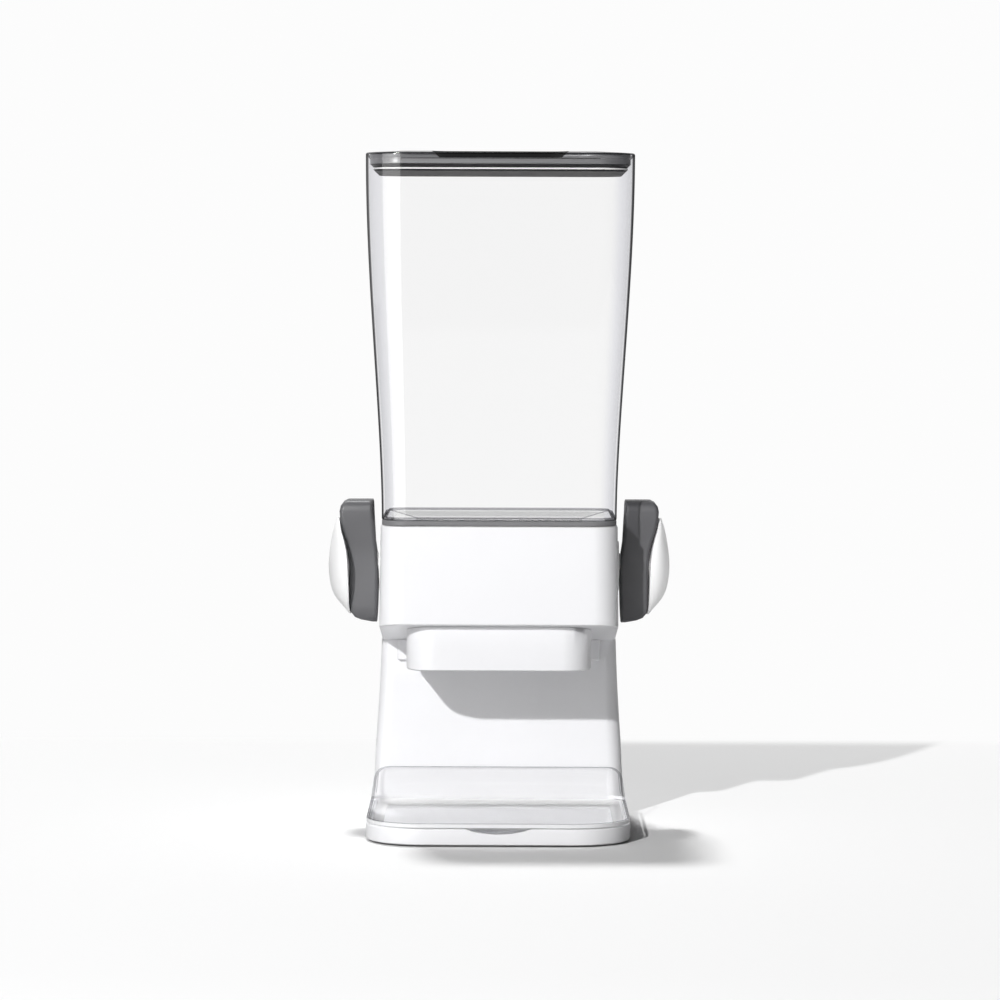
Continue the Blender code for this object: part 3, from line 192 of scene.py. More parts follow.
def moulded_plastic(name, dark, light, roughness, ior, peel_mm, peel_height):
    """An opaque moulding: close colour variation, uneven polish and a slight wave of its skin.

    The skin of a real moulding has a grain of 0.1 to 0.5 mm. A pixel of the picture is 0.7 mm wide, so
    the grain is drawn coarser. That of the grips and feet stays fine, and shows as a softer sheen."""
    made, tree = blank_material(name)
    place = add_node(tree, "ShaderNodeTexCoord").outputs["Object"]
    patterns = []
    for size, detail in ((FLOW_MM, FLOW_DETAIL), (POLISH_MM, POLISH_DETAIL), (peel_mm, PEEL_DETAIL)):
        values = {"Scale": per_mm(size), "Detail": detail}
        patterns.append(add_node(tree, "ShaderNodeTexNoise", values, {"Vector": place}).outputs["Fac"])
    flow, polish, peel = patterns
    values = {"Strength": PEEL_STRENGTH, "Distance": peel_height}
    wave = add_node(tree, "ShaderNodeBump", values, {"Height": peel})
    shades = {LOW_COLOUR: linear(dark), HIGH_COLOUR: linear(light)}
    colour = add_node(tree, "ShaderNodeMix", shades, {0: flow}, data_type="RGBA")
    values = {"To Min": roughness - POLISH_SPREAD, "To Max": roughness + POLISH_SPREAD}
    rough = add_node(tree, "ShaderNodeMapRange", values, {"Value": polish})
    links = {
        "Base Color": colour.outputs[MIXED_COLOUR],
        "Roughness": rough.outputs["Result"],
        "Normal": wave.outputs["Normal"],
    }
    surface = add_node(tree, "ShaderNodeBsdfPrincipled", {"IOR": ior}, links)
    add_node(tree, "ShaderNodeOutputMaterial", links={"Surface": surface.outputs["BSDF"]})
    return made


# Each material gives its dark and light shade, its roughness, its IOR, and how long in millimetres and how
# high in metres the wave of its skin is.

# Injection moulded ABS from a polished mould: an even, cool white with a soft low highlight
WHITE_ABS = moulded_plastic("moulded white ABS", "#F0F0F2", "#F4F4F6", 0.34, 1.53, 1.6, 0.00002)

# The housing's ABS, a brighter copy of the stand's white: painted light that sets it off from the column
HOUSING_PAINTED_LIGHTER = moulded_plastic("moulded white ABS painted lighter", "#F6F6F8", "#F9F9FB", 0.34, 1.53, 1.6, 0.00002)

# Polypropylene from a plain mould: a duller, warmer white for what lies inside
INNER_PP = moulded_plastic("plain white polypropylene", "#E8E8E7", "#EFEFED", 0.48, 1.49, 2.2, 0.00003)

# Polypropylene from a smooth mould: the dials' clean white, with a broad and faint highlight
DIAL_SHELL = moulded_plastic("smooth white polypropylene", "#F6F6F6", "#FAFAFA", 0.40, 1.49, 2.0, 0.00001)

# Dyed ABS with a satin skin: the lid is a grey that turns dark away from the light, with a clear
# highlight along its rim
CHARCOAL_ABS = moulded_plastic("charcoal ABS", "#747476", "#7B7B7D", 0.30, 1.53, 1.2, 0.00001)

# The plug's ABS, a darker copy of the lid's charcoal: painted shade for the plug's unlit underside, a dark
# band behind the bin's clear wall
PLUG_PAINTED_SHADE = moulded_plastic("charcoal ABS with painted shade", "#242426", "#2A2A2C", 0.45, 1.53, 1.2, 0.00001)

# Painted shade of the finger scoop: a rough near black for the deep shade inside it. Its IOR, lowered to
# match the photograph, keeps shine off it
SCOOP_PAINTED_SHADE = moulded_plastic("charcoal ABS painted as scoop shade", "#070708", "#0B0B0C", 0.85, 1.20, 1.2, 0.00001)

# Moulded thermoplastic elastomer of the grips: a soft dark grey with a blurred sheen
SOFT_GRIP = moulded_plastic("dark grey TPE", "#59595B", "#626265", 0.45, 1.50, 0.5, 0.00002)

# The same elastomer in the seal, paler and smoother
SEAL_TPE = moulded_plastic("grey TPE seal", "#757577", "#7C7C7E", 0.50, 1.50, 1.0, 0.00001)

# Moulded silicone rubber: the milky paddles and gasket, with a dull sheen
SILICONE = moulded_plastic("pale silicone rubber", "#F2F2F0", "#F7F7F5", 0.45, 1.41, 1.5, 0.00001)

# Moulded rubber of the feet: a flat mid grey
FOOT_RUBBER = moulded_plastic("grey rubber foot", "#8A8A8A", "#929292", 0.70, 1.52, 0.6, 0.00003)

# Painted highlight on the polished edge of the clear tray: an opaque white for the light it gathers, a bright
# white line
RIM_PAINTED_HIGHLIGHT = moulded_plastic("copolyester rim with painted highlight", "#F0F0F2", "#F5F5F6", 0.25, 1.52, 2.0, 0.00001)


# Clear plastic

CLEAR_IOR = 1.52
CLEAR_ROUGHNESS = 0.03
WHITE_REFLECTION = "#FFFFFF"
MILKY = "#FCFCFC"


def clear_plastic(name, outer_stops, inner_stops, gloss_most, haze=0.0):
    """A polished clear moulding. Its walls are so thin that light goes straight through them.

    Its tint follows the angle at which it is seen: nearly none face on, and then painted shade for the dark
    of the room seen in it, a grey where a corner turns away and a dark line at its outline, which a wall seen
    from its other side lacks. Its gloss stays under a limit, and haze is the share of the light that it
    scatters."""
    made, tree = blank_material(name)
    facing = add_node(tree, "ShaderNodeLayerWeight").outputs["Facing"]
    tints_and_edge_shade = []
    for stops in (outer_stops, inner_stops):
        tint_and_edge_shade = add_node(tree, "ShaderNodeValToRGB", links={"Fac": facing})
        for place, colour in stops[2:]:
            tint_and_edge_shade.color_ramp.elements.new(place)
        for element, (place, colour) in zip(tint_and_edge_shade.color_ramp.elements, stops):
            element.position = place
            element.color = linear(colour)
        tints_and_edge_shade.append(tint_and_edge_shade.outputs["Color"])
    behind = add_node(tree, "ShaderNodeNewGeometry").outputs["Backfacing"]
    links = {0: behind, LOW_COLOUR: tints_and_edge_shade[0], HIGH_COLOUR: tints_and_edge_shade[1]}
    tint_and_edge_shade = add_node(tree, "ShaderNodeMix", links=links, data_type="RGBA")
    through = add_node(tree, "ShaderNodeBsdfTransparent", links={"Color": tint_and_edge_shade.outputs[MIXED_COLOUR]})
    values = {"Color": linear(WHITE_REFLECTION), "Roughness": CLEAR_ROUGHNESS}
    gloss = add_node(tree, "ShaderNodeBsdfGlossy", values)
    bright = add_node(tree, "ShaderNodeFresnel", {"IOR": CLEAR_IOR}).outputs["Fac"]
    capped = add_node(tree, "ShaderNodeMath", {1: gloss_most}, {0: bright}, operation="MINIMUM")
    outside = add_node(tree, "ShaderNodeMapRange", {"To Min": 1.0, "To Max": 0.0}, {"Value": behind})
    links = {0: capped.outputs["Value"], 1: outside.outputs["Result"]}
    share = add_node(tree, "ShaderNodeMath", links=links, operation="MULTIPLY")
    links = {0: share.outputs["Value"], 1: through.outputs["BSDF"], 2: gloss.outputs["BSDF"]}
    surface = add_node(tree, "ShaderNodeMixShader", links=links)
    if haze:
        milky = add_node(tree, "ShaderNodeBsdfDiffuse", {"Color": linear(MILKY)})
        links = {1: surface.outputs["Shader"], 2: milky.outputs["BSDF"]}
        surface = add_node(tree, "ShaderNodeMixShader", {0: haze}, links)
    add_node(tree, "ShaderNodeOutputMaterial", links={"Surface": surface.outputs["Shader"]})
    return made


# Each material gives its tints, with their painted edge shade, seen from outside and from inside, from face
# on at 0 to edge on at 1, and the most that it mirrors.
FACE_ON = (0.0, "#FEFEFE")
# Painted shade of the bin's wall for the dark of the room seen in it: faint greys where it turns away, then a
# dark outline
WALL_PAINTED_BENDS = ((0.16, "#FDFDFD"), (0.24, "#F9F9FA"), (0.57, "#F4F4F5"))
WALL_PAINTED_OUTLINE = ((0.65, "#606063"), (0.74, "#2A2A2C"))
WALL_TINT_AND_PAINTED_SHADE = (FACE_ON, *WALL_PAINTED_BENDS, *WALL_PAINTED_OUTLINE)
INNER_TINTS = (FACE_ON, (0.16, "#FDFDFD"), (0.24, "#FAFAFB"), (1.0, "#F3F3F4"))
FLOOR_TINTS = ((0.0, "#FDFDFD"), (1.0, "#FBFBFC"))
# Painted grey shade of the bin's rims and fillets
EDGE_PAINTED_SHADE = ((0.0, "#BDBDC0"), (1.0, "#77777A"))
# Painted grey shade of the tray's thin edge
LINE_PAINTED_SHADE = ((0.0, "#DEDEE0"), (1.0, "#B8B8BB"))
# The tray's tint, with a painted grey shade just at its outline
TRAY_TINT_AND_EDGE_SHADE = (FACE_ON, (0.55, "#FDFDFD"), (0.95, "#FBFBFC"), (1.0, "#DCDCDE"))

# Injection moulded copolyester, polished like glass: the bin's wall has painted shade, a faint grey where its
# corners turn away and a dark outline
CLEAR_OUTER = clear_plastic("clear copolyester wall", WALL_TINT_AND_PAINTED_SHADE, INNER_TINTS, 0.07)

# The wall's inside adds its tint alone, since its reflections fall together with the outside's
CLEAR_INNER = clear_plastic("clear copolyester inner wall", INNER_TINTS, INNER_TINTS, 0.0)

# The bin's floor is seen at a low angle, where it mirrors the background
CLEAR_FLOOR = clear_plastic("clear copolyester floor", FLOOR_TINTS, INNER_TINTS, 0.90)

# Rounded rims and fillets, painted grey: painted shade for the dark of the room that they gather into a grey
# line
CLEAR_EDGE_PAINTED_GREY = clear_plastic("clear copolyester edge painted grey", EDGE_PAINTED_SHADE, EDGE_PAINTED_SHADE, 0.10)

# The tray's copolyester: hardly any tint but a painted grey at its very outline, with a pale reflection at
# low angles
CLEAR_TRAY = clear_plastic("clear copolyester tray", TRAY_TINT_AND_EDGE_SHADE, TRAY_TINT_AND_EDGE_SHADE, 0.80)

# The thin edge of the tray and its faces that lean down to the front: painted grey shade, a fine grey line
TRAY_PAINTED_LINE = clear_plastic("clear copolyester tray edge painted grey", LINE_PAINTED_SHADE, LINE_PAINTED_SHADE, 0.10)

# The tray's inside bend, thick enough to look hazy: it glows where light falls in
TRAY_BEND_GLOW = clear_plastic("clear copolyester tray bend", TRAY_TINT_AND_EDGE_SHADE, TRAY_TINT_AND_EDGE_SHADE, 0.10, haze=0.55)


# Steel

# Drawing leaves fine lines along X. Real ones are under 0.05 mm wide, so they are drawn coarser to show.
DRAWN_LINE_MM = 0.4
DRAWN_DETAIL = 3.0
DRAWN_SHARES = (0.05, 1.0, 1.0)
DRAWN_SPREAD = 0.08


def drawn_steel(name, colour, roughness):
    """A bare or plated metal whose gloss varies in fine lines."""
    made, tree = blank_material(name)
    place = add_node(tree, "ShaderNodeTexCoord").outputs["Object"]
    drawn = add_node(tree, "ShaderNodeMapping", {"Scale": DRAWN_SHARES}, {"Vector": place})
    values = {"Scale": per_mm(DRAWN_LINE_MM), "Detail": DRAWN_DETAIL}
    lines = add_node(tree, "ShaderNodeTexNoise", values, {"Vector": drawn.outputs["Vector"]})
    values = {"To Min": roughness - DRAWN_SPREAD, "To Max": roughness + DRAWN_SPREAD}
    rough = add_node(tree, "ShaderNodeMapRange", values, {"Value": lines.outputs["Fac"]})
    values = {"Base Color": linear(colour), "Metallic": 1.0}
    surface = add_node(tree, "ShaderNodeBsdfPrincipled", values, {"Roughness": rough.outputs["Result"]})
    add_node(tree, "ShaderNodeOutputMaterial", links={"Surface": surface.outputs["BSDF"]})
    return made


# Zinc plated screws: a cool grey metal with blurred reflections
SCREW_STEEL = drawn_steel("zinc plated steel", "#C3C5C6", 0.35)

# The shaft's bright drawn steel, with crisper reflections
SHAFT_STEEL = drawn_steel("bright drawn steel", "#C9CACB", 0.25)


# Which finish each node has

SLOT_FINISHES = {
    "white_plastic": WHITE_ABS,
    "inner_white_plastic": INNER_PP,
    "dial_white": DIAL_SHELL,
    "charcoal_plastic": CHARCOAL_ABS,
    "grey_soft_grip": SOFT_GRIP,
    "grey_seal": SEAL_TPE,
    "pale_silicone": SILICONE,
    "foot_rubber": FOOT_RUBBER,
    "screw_steel": SCREW_STEEL,
    "shaft_steel": SHAFT_STEEL,
    "clear_plastic": CLEAR_OUTER,
}
FINISHES = {entry["node"]: SLOT_FINISHES[entry["material_slot"]] for entry in frame["record"]["subparts"]}

# Nodes whose finish differs from the rest of their slot: the clear tray, the plug's painted shade and the
# housing's painted light
FINISHES["crumb_tray"] = CLEAR_TRAY
FINISHES["lid_plug"] = PLUG_PAINTED_SHADE
FINISHES["upper_housing"] = HOUSING_PAINTED_LIGHTER


# Shapes

Plan = namedtuple("Plan", "half_width front rear front_radius rear_radius")


def between(low, high, share):
    return low + (high - low) * share


def clamped(share):
    return min(max(share, 0), 1)


def eased(share):
    """Runs from 0 to 1 as its share does, slowly at both ends."""
    return share * share * (3 - 2 * share)


def inset(plan, by):
    """The same outline moved in by a wall, or out by a negative one."""
    return Plan(
        plan.half_width - by,
        plan.front + by,
        plan.rear - by,
        max(plan.front_radius - by, LEAST_RADIUS),
        max(plan.rear_radius - by, LEAST_RADIUS),
    )


def ring(plan, height, sides=SIDE_STEPS):
    """One turn round an outline with rounded corners, at a height or at a function of Y."""
    right = []
    for step in range(CORNER_STEPS + 1):
        turn = math.pi / 2 * step / CORNER_STEPS
        x = plan.half_width - plan.front_radius * (1 - math.sin(turn))
        right.append((x, plan.front + plan.front_radius * (1 - math.cos(turn))))
    start = plan.front + plan.front_radius
    end = plan.rear - plan.rear_radius
    right += [(plan.half_width, between(start, end, step / sides)) for step in range(1, sides)]
    for step in range(CORNER_STEPS + 1):
        turn = math.pi / 2 * step / CORNER_STEPS
        x = plan.half_width - plan.rear_radius * (1 - math.cos(turn))
        right.append((x, plan.rear - plan.rear_radius * (1 - math.sin(turn))))
    outline = right + [(-x, y) for x, y in reversed(right)]
    return [Vector((x, y, height(y) if callable(height) else height)) for x, y in outline]


def rounded(plan, height, radius, rise):
    """Rings round an edge, from its flat face to its wall."""
    rings = []
    for step in range(EDGE_STEPS + 1):
        turn = math.pi / 2 * step / EDGE_STEPS
        narrowed = inset(plan, radius * (1 - math.sin(turn)))
        rings.append(ring(narrowed, height + rise * (1 - math.cos(turn))))
    return rings


def loft(bands, capped=False):
    """Joins rings into a closed shell that runs back to its first ring, or is closed by a face at each
    end. Each ring comes with the number of the material that the band after it has."""
    mesh = bmesh.new()
    rows = [[mesh.verts.new(point) for point in points] for points, finish in bands]
    count = len(rows[0])
    if capped:
        mesh.faces.new(rows[0])
        mesh.faces.new(rows[-1])
    following = rows[1:] if capped else rows[1:] + rows[:1]
    for low, high, (points, finish) in zip(rows, following, bands):
        for here in range(count):
            after = (here + 1) % count
            face = mesh.faces.new((low[here], low[after], high[after], high[here]))
            face.material_index = finish
    bmesh.ops.recalc_face_normals(mesh, faces=mesh.faces)
    return mesh


def as_piece(name, mesh, materials, sharp_degrees):
    """Puts a mesh in the scene, smooth but for its real edges, with broad faces kept flat."""
    data = bpy.data.meshes.new(name)
    mesh.to_mesh(data)
    mesh.free()
    data.shade_smooth()
    data.set_sharp_from_angle(angle=math.radians(sharp_degrees))
    for material in materials:
        data.materials.append(material)
    piece = bpy.data.objects.new(name, data)
    bpy.context.scene.collection.objects.link(piece)
    weighted = piece.modifiers.new("even normals", "WEIGHTED_NORMAL")
    weighted.keep_sharp = True
    return piece


def stand_for(piece, node):
    """The piece takes a node's place and body."""
    body = next(name for name, nodes in frame["record"]["behaviour"]["bodies"].items() if node in nodes)
    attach(piece, body)
    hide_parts(node)
    return piece


def welded(node):
    """A node's solid as one mesh, with the points of its faces joined."""
    mesh = bmesh.new()
    mesh.from_mesh(frame["nodes"][node].data)
    bmesh.ops.remove_doubles(mesh, verts=mesh.verts, dist=WELD_DISTANCE)
    return mesh


def finer_copy(node):
    """A node's solid as one smooth piece: its flat faces joined, its rounded edges shaded round."""
    mesh = welded(node)
    bmesh.ops.dissolve_limit(mesh, angle_limit=FLAT_ANGLE, verts=mesh.verts, edges=mesh.edges)
    return stand_for(as_piece(f"{node}_smooth", mesh, [FINISHES[node]], COPY_SHARP_DEGREES), node)


# Pieces


def dress_nodes():
    """Every node gets its finish, and those with no maker of their own are shaded round."""
    own_makers = ("bin", "lid_cover", "stand", "crumb_tray", "left_dial", "right_dial")
    for node, finish in FINISHES.items():
        for slot in frame["nodes"][node].material_slots:
            slot.material = finish
    for node in FINISHES:
        if node not in own_makers:
            finer_copy(node)


def make_dial(node):
    """A dial's solid with its dome divided finely, so that its outline is round from every side."""
    mesh = welded(node)
    pair = math.radians(DOME_PAIR_DEGREES)
    limits = {"angle_face_threshold": pair, "angle_shape_threshold": 2 * pair}
    bmesh.ops.join_triangles(mesh, faces=mesh.faces, **limits)
    crease = mesh.edges.layers.float.new("crease_edge")
    for edge in mesh.edges:
        edge[crease] = 1.0 if edge.calc_face_angle(0) > math.radians(DOME_CREASE_DEGREES) else 0.0
    piece = as_piece(f"{node}_smooth", mesh, [FINISHES[node]], COPY_SHARP_DEGREES)
    finer = piece.modifiers.new("finer dome", "SUBSURF")
    finer.levels = finer.render_levels = DOME_LEVELS

    # The dome is divided before its normals are evened
    piece.modifiers.move(1, 0)
    stand_for(piece, node)


def make_stand():
    """The stand's solid as a smooth piece, whose column meets the housing without a dark line between."""
    piece = finer_copy("stand")
    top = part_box("stand")[1][2]
    for vertex in piece.data.vertices:
        if vertex.co.z > top - CLEARANCE / 2:
            vertex.co.z = top + COLUMN_RISE_SHARE * CLEARANCE


def tray_narrowed(plan, by):
    """Moved in at the front and the sides, and half as far at the back."""
    moved = inset(plan, by)
    return Plan(moved.half_width, moved.front, plan.rear - by / 2, moved.front_radius, plan.rear_radius)


def make_tray():
    """Clear tray: a dish with a painted white highlight round its rim and a painted grey edge line, and a
    back that sweeps up the column to a thin edge.
    """
    clear, bright, line, glow = range(4)
    lowest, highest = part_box("crumb_tray")
    plan = Plan(highest[0], lowest[1], highest[1], TRAY_FRONT_RADIUS, TRAY_REAR_RADIUS)

    def rim(y):
        share = clamped((y - plan.rear + TRAY_SWEEP) / TRAY_SWEEP)
        return between(TRAY_RIM, highest[2], eased(share))

    def turn(outline, height):
        points = ring(outline, height, TRAY_SIDE_STEPS)
        for point in points:
            point.x *= 1 - TRAY_LEAN_SHARE * max(point.z - TRAY_RIM, 0) / (highest[2] - TRAY_RIM)
        return points

    def part_way(low, share):
        return lambda y: between(low, rim(y), share)

    dish = inset(plan, TRAY_STEP)._replace(rear=plan.rear)
    wall = inset(plan, TRAY_WALL)
    floor = lowest[2] + TRAY_FLOOR
    bands = [(turn(tray_narrowed(dish, TRAY_SLOPE), lowest[2]), clear)]
    # The opaque band at the rim's foot is the rim's painted highlight
    bands += [(turn(dish, TRAY_RIM_LOW), clear), (turn(plan, TRAY_RIM_LOW), bright)]
    for share in TRAY_OUTSIDE_SHARES:
        bands.append((turn(plan, part_way(TRAY_RIM - CLEARANCE, share)), clear))
    # The rim's top edge takes the painted grey line
    bands += [(turn(plan, rim), line), (turn(wall, rim), clear)]
    for share in TRAY_INSIDE_SHARES:
        bands.append((turn(wall, part_way(TRAY_RIM_LOW, share)), clear))
    for step in range(EDGE_STEPS + 1):
        bend = math.pi / 2 * step / EDGE_STEPS
        outline = tray_narrowed(wall, TRAY_BEND * (1 - math.cos(bend)))
        bands.append((turn(outline, between(TRAY_RIM_LOW, floor, math.sin(bend))), glow))
    mesh = loft(bands, capped=True)
    # Faces that lean down and to the front take the painted grey shade of the edge line
    for face in mesh.faces:
        if face.normal.z < -LINE_DOWN_SHARE and face.normal.y < -LINE_FRONT_SHARE:
            face.material_index = line
    materials = [CLEAR_TRAY, RIM_PAINTED_HIGHLIGHT, TRAY_PAINTED_LINE, TRAY_BEND_GLOW]
    stand_for(as_piece("tray_dish", mesh, materials, SHELL_SHARP_DEGREES), "crumb_tray")


def bin_outline(height, top, foot):
    """Outer outline of the bin at a height, after an S-curve from its foot to its rim."""
    (low, low_plan), (high, high_plan) = foot, top
    flare = eased(clamped((height - low) / (high - low)) ** FLARE_POWER)
    return Plan(*(between(start, end, flare) for start, end in zip(low_plan, high_plan)))


def make_bin():
    """Clear bin as one shell: its outer wall, inner wall, floor and edges each have their own clarity, with
    painted grey and dark shade at the edges and at the outer wall's outline.
    """
    # The edge bands carry the painted grey shade of rims and fillets
    outer, inner, floor, edge = range(4)
    lowest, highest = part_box("bin")
    seal_low, seal_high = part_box("bin_seal")
    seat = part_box("upper_housing")[1][2] + CLEARANCE
    foot_height = seal_high[2] + CLEARANCE
    foot_front = seal_low[1] - SEAL_INSET
    foot_rear = seal_high[1] + SEAL_INSET
    foot_plan = Plan(seal_high[0] + SEAL_INSET, foot_front, foot_rear, BIN_LOW_RADIUS, BIN_LOW_RADIUS)
    rim_plan = Plan(highest[0], lowest[1], highest[1], BIN_TOP_RADIUS, BIN_TOP_RADIUS)
    top, foot = (highest[2], rim_plan), (foot_height, foot_plan)
    outlet_front = AXLE_Y - OUTLET_HALF_DEPTH
    outlet_rear = AXLE_Y + OUTLET_HALF_DEPTH
    outlet = Plan(OUTLET_HALF_WIDTH, outlet_front, outlet_rear, OUTLET_RADIUS, OUTLET_RADIUS)
    outlet_inside = inset(outlet, CLEAR_WALL)
    seal_inside = inset(foot_plan, SEAL_INSET + SEAL_WIDTH + CLEARANCE)
    radius = CLEAR_WALL / 2
    shares = [step / BIN_LEVELS for step in range(BIN_LEVELS + 1)]
    levels = [between(foot_height + radius, highest[2] - radius, share) for share in shares]
    floor_edge = foot_height + BIN_FLOOR_WEB + BIN_FLOOR_FILLET
    floor_low = foot_height + BIN_FLOOR_WEB - BIN_FLOOR_FALL

    # Outside, from the outlet's foot up to the rim
    bands = [(ring(outlet, lowest[2]), inner), (ring(outlet, seat), floor), (ring(seal_inside, seat), inner)]
    bands.append((ring(seal_inside, foot_height), floor))
    bands += [(points, edge) for points in rounded(foot_plan, foot_height, radius, radius)[:-1]]
    bands += [(ring(bin_outline(level, top, foot), level), outer) for level in levels[:-1]]
    rim = rounded(rim_plan, highest[2], radius, -radius)
    bands += [(points, edge) for points in reversed(rim)]

    # Inside, from the rim down to the outlet's foot
    bands.append((ring(inset(rim_plan, CLEAR_WALL), highest[2] - radius), inner))
    for level in reversed(levels):
        if floor_edge + BIN_FLOOR_FILLET < level < highest[2] - 2 * radius:
            bands.append((ring(inset(bin_outline(level, top, foot), CLEAR_WALL), level), inner))
    wall_foot = inset(bin_outline(floor_edge, top, foot), CLEAR_WALL)
    fillet = rounded(wall_foot, floor_edge - BIN_FLOOR_FILLET, BIN_FLOOR_FILLET, BIN_FLOOR_FILLET)
    bands += [(points, edge) for points in reversed(fillet[1:])]
    bands.append((fillet[0], floor))
    bands += [(ring(outlet_inside, floor_low), inner), (ring(outlet_inside, lowest[2]), inner)]
    mesh = loft(bands)
    materials = [CLEAR_OUTER, CLEAR_INNER, CLEAR_FLOOR, CLEAR_EDGE_PAINTED_GREY]
    stand_for(as_piece("bin_shell", mesh, materials, SHELL_SHARP_DEGREES), "bin")


def make_lid():
    """The cover's solid as a smooth piece, with the finger scoop in a near black that paints the shade inside
    it.
    """
    cover, scoop = range(2)
    piece = finer_copy("lid_cover")
    piece.modifiers[0].weight = LID_NORMAL_WEIGHT
    piece.data.materials.append(SCOOP_PAINTED_SHADE)
    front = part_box("lid_cover")[0][1]
    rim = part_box("bin")[1][2]
    # Faces inside the scoop take its painted shade
    for face in piece.data.polygons:
        x, y, z = face.center
        within = abs(x) < SCOOP_HALF_WIDTH and CLEARANCE < y - front < SCOOP_LENGTH
        face.material_index = scoop if within and -SCOOP_DEPTH < z - rim < 0 else cover


dress_nodes()
make_dial("left_dial")
make_dial("right_dial")
make_stand()
make_tray()
make_bin()
make_lid()


# Studio

# How pale the background and the floor show, 1 being white, and how much light the floor throws back
BACKGROUND = 0.975
FLOOR_SHOWN = 0.912
FLOOR_BOUNCE = 0.50
FLOOR_REACH = 6.0

# Something that changes along an axis: where that starts and ends, and its value before and after
Change = namedtuple("Change", "axis start end before after")
FLOOR_PALING = Change("Y", -0.6, 0.5, 0.965 * FLOOR_SHOWN, 1.15 * FLOOR_SHOWN)
FLOOR_FADING = Change("Y", 0.47, 0.53, 0.0, 1.0)

# The fill by direction: strong from the front, next to none from the right, a little more from the far
# left, and weak from above
FILL_CHANGES = (
    Change("Y", -0.9, 0.1, 0.74, 0.17),
    Change("X", 0.20, 0.75, 1.0, 0.02),
    Change("X", -0.9, -0.2, 1.2, 1.0),
    Change("Z", 0.15, 0.8, 1.0, 0.12),
)

# What reflections show: dark on the right and in front, pale on the left and behind
MIRROR_CHANGES = (Change("X", 0.1, 0.6, 1.0, 0.20), Change("Y", -0.5, 0.2, 0.04, 1.0))

# Lamps: power, place and size, or for those like the sun the angle that they fill
KEY_POWER = 27.4
KEY_PLACE = (-0.60, -1.50, 0.79)
KEY_RADIUS = 0.02
TOP_POWER = 1.9
TOP_PLACE = (-0.19, 0.62, 2.0)
TOP_SPREAD_DEGREES = 5
DIAL_FILL_POWER = 1.4
DIAL_FILL_PLACE = (1.6, -1.0, 0.2)
DIAL_FILL_SPREAD_DEGREES = 60
TRAY_FILL_POWER = 0.50
TRAY_FILL_PLACE = (-0.25, -0.80, 1.5)
TRAY_FILL_SPREAD_DEGREES = 25
SOFTBOX_POWER = 38.0
SOFTBOX_PLACE = (-1.29, -2.02, 0.62)
SOFTBOX_AIM = (0, 0, 0.30)
SOFTBOX_WIDTH = 2.72
SOFTBOX_HEIGHT = 1.5

# What the lamps aim at: the middle of the dispenser's foot
MIDDLE = (0, 0, 0)

# The photograph's camera
CAMERA_PLACE = (0.0, -2.681, 0.3498)
CAMERA_DOWN_DEGREES = 2.856
CAMERA_ROLL_DEGREES = 0.2
LENS_MM = 145.8
SENSOR_MM = 36.0


def range_values(change):
    """A change's numbers, by the sockets of the node that makes it."""
    return {"From Min": change.start, "From Max": change.end, "To Min": change.before, "To Max": change.after}


def aim(thing, place, target):
    """Puts a lamp at its place, turned to its target."""
    thing.location = place
    thing.rotation_euler = (Vector(target) - Vector(place)).to_track_quat("-Z", "Y").to_euler()
    bpy.context.scene.collection.objects.link(thing)
    return thing


def shown_rays(tree):
    """The rays' kinds, and 1 for rays that the picture sees, straight or through something clear."""
    path = add_node(tree, "ShaderNodeLightPath")
    links = {0: path.outputs["Is Camera Ray"], 1: path.outputs["Is Transmission Ray"]}
    return path, add_node(tree, "ShaderNodeMath", links=links, operation="MAXIMUM").outputs["Value"]


def light_floor():
    """Pale floor that shades off into the plain background behind the dispenser."""
    data = bpy.data.meshes.new("studio_floor")
    corners = [(FLOOR_REACH * x, FLOOR_REACH * y, 0) for x, y in ((-1, -1), (1, -1), (1, 1), (-1, 1))]
    data.from_pydata(corners, [], [(0, 1, 2, 3)])
    floor = bpy.data.objects.new("studio_floor", data)
    bpy.context.scene.collection.objects.link(floor)

    # Matt paper: no shine at all, so the shadows alone give it shape
    made, tree = blank_material("matt floor paper")
    path, seen = shown_rays(tree)
    place = add_node(tree, "ShaderNodeTexCoord").outputs["Object"]
    back = add_node(tree, "ShaderNodeSeparateXYZ", links={0: place}).outputs[FLOOR_PALING.axis]
    even = add_node(tree, "ShaderNodeMapRange", range_values(FLOOR_PALING), {"Value": back})
    links = {0: seen, HIGH: even.outputs["Result"]}
    level = add_node(tree, "ShaderNodeMix", {LOW: FLOOR_BOUNCE}, links).outputs[0]
    grey = add_node(tree, "ShaderNodeCombineColor", links={0: level, 1: level, 2: level})
    paper = add_node(tree, "ShaderNodeBsdfDiffuse", links={"Color": grey.outputs["Color"]})
    plain = (BACKGROUND, BACKGROUND, BACKGROUND, 1.0)
    glow = add_node(tree, "ShaderNodeEmission", {"Color": plain})
    fade = {"interpolation_type": "SMOOTHSTEP"}
    far = add_node(tree, "ShaderNodeMapRange", range_values(FLOOR_FADING), {"Value": back}, **fade)
    faded = add_node(tree, "ShaderNodeMath", links={0: far.outputs["Result"], 1: seen}, operation="MULTIPLY")
    links = {0: faded.outputs["Value"], 1: paper.outputs["BSDF"], 2: glow.outputs["Emission"]}
    whole = add_node(tree, "ShaderNodeMixShader", links=links)
    add_node(tree, "ShaderNodeOutputMaterial", links={"Surface": whole.outputs["Shader"]})
    data.materials.append(made)


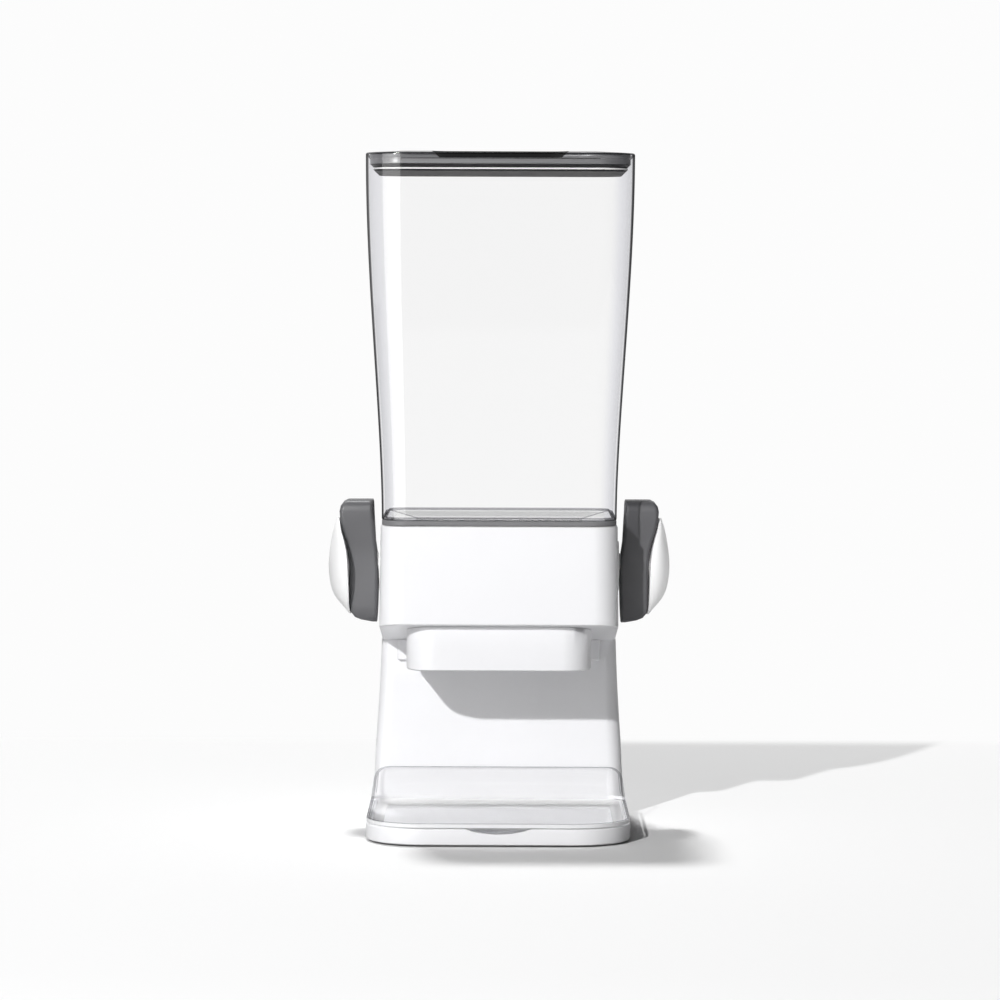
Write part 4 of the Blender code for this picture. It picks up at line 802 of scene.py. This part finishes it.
def light_world():
    """Plain background. As light it is a dim fill, and reflections show it paler in some directions
    than in others."""
    world = bpy.data.worlds.new("studio")
    bpy.context.scene.world = world
    world.use_nodes = True
    tree = world.node_tree
    tree.nodes.clear()
    path, seen = shown_rays(tree)
    direction = add_node(tree, "ShaderNodeTexCoord").outputs["Generated"]
    split = add_node(tree, "ShaderNodeSeparateXYZ", links={0: direction})
    smooth = {"interpolation_type": "SMOOTHSTEP"}
    strengths = []
    for changes in (FILL_CHANGES, MIRROR_CHANGES):
        parts = []
        for change in changes:
            source = {"Value": split.outputs[change.axis]}
            part = add_node(tree, "ShaderNodeMapRange", range_values(change), source, **smooth)
            parts.append(part.outputs["Result"])
        strength = parts[0]
        for part in parts[1:]:
            product = add_node(tree, "ShaderNodeMath", links={0: strength, 1: part}, operation="MULTIPLY")
            strength = product.outputs["Value"]
        strengths.append(strength)
    fill, mirror = strengths
    lit = add_node(tree, "ShaderNodeMix", links={0: path.outputs["Is Glossy Ray"], LOW: fill, HIGH: mirror})
    level = add_node(tree, "ShaderNodeMix", {HIGH: BACKGROUND}, {0: seen, LOW: lit.outputs[0]})
    white = {"Color": (1.0, 1.0, 1.0, 1.0)}
    back_drop = add_node(tree, "ShaderNodeBackground", white, {"Strength": level.outputs[0]})
    add_node(tree, "ShaderNodeOutputWorld", links={"Surface": back_drop.outputs["Background"]})


def sun_like(name, power, spread_degrees, place):
    """A lamp whose light is the same everywhere, aimed at the dispenser's foot."""
    light = bpy.data.lights.new(name, "SUN")
    light.energy = power
    light.angle = math.radians(spread_degrees)
    return aim(bpy.data.objects.new(name, light), place, MIDDLE)


def light_only(lamp, pieces):
    """The lamp lifts the named pieces alone, as a small card held near them would."""
    lit = bpy.data.collections.new(lamp.name)
    for piece in pieces:
        lit.objects.link(bpy.data.objects[piece])
    lamp.light_linking.receiver_collection = lit


def light_lamps():
    """A small key near the left front, a weaker lamp from high up and a little behind, two weak fills,
    and a wide softbox that only shows in reflections."""
    key = bpy.data.lights.new("key", "POINT")
    key.energy = KEY_POWER
    key.shadow_soft_size = KEY_RADIUS
    key.use_nodes = True

    # Its light is as strong far off as near, so that only its shadows spread
    emission = key.node_tree.nodes["Emission"]
    even = add_node(key.node_tree, "ShaderNodeLightFalloff", {"Strength": 1.0})
    key.node_tree.links.new(even.outputs["Constant"], emission.inputs["Strength"])
    aim(bpy.data.objects.new("key", key), KEY_PLACE, MIDDLE)

    sun_like("top_light", TOP_POWER, TOP_SPREAD_DEGREES, TOP_PLACE)
    dial_fill = sun_like("dial_fill", DIAL_FILL_POWER, DIAL_FILL_SPREAD_DEGREES, DIAL_FILL_PLACE)
    light_only(dial_fill, ["right_dial_smooth"])
    tray_fill = sun_like("tray_fill", TRAY_FILL_POWER, TRAY_FILL_SPREAD_DEGREES, TRAY_FILL_PLACE)
    light_only(tray_fill, ["stand_smooth", "tray_dish"])

    box = bpy.data.lights.new("softbox", "AREA")
    box.shape = "RECTANGLE"
    box.size = SOFTBOX_WIDTH
    box.size_y = SOFTBOX_HEIGHT
    box.energy = SOFTBOX_POWER
    panel = aim(bpy.data.objects.new("softbox", box), SOFTBOX_PLACE, SOFTBOX_AIM)
    panel.visible_camera = False
    panel.visible_diffuse = False


def place_camera():
    """The photograph's view: straight from the front, level with the bin, looking a little down."""
    lens = bpy.data.cameras.new("camera")
    lens.lens = LENS_MM
    lens.sensor_width = SENSOR_MM
    camera = bpy.data.objects.new("camera", lens)
    camera.location = CAMERA_PLACE
    tilt = math.radians(90 - CAMERA_DOWN_DEGREES)
    camera.rotation_euler = (tilt, math.radians(-CAMERA_ROLL_DEGREES), 0.0)
    bpy.context.scene.collection.objects.link(camera)
    bpy.context.scene.camera = camera


light_world()
light_floor()
light_lamps()
place_camera()
bpy.context.scene.view_settings.view_transform = "Standard"
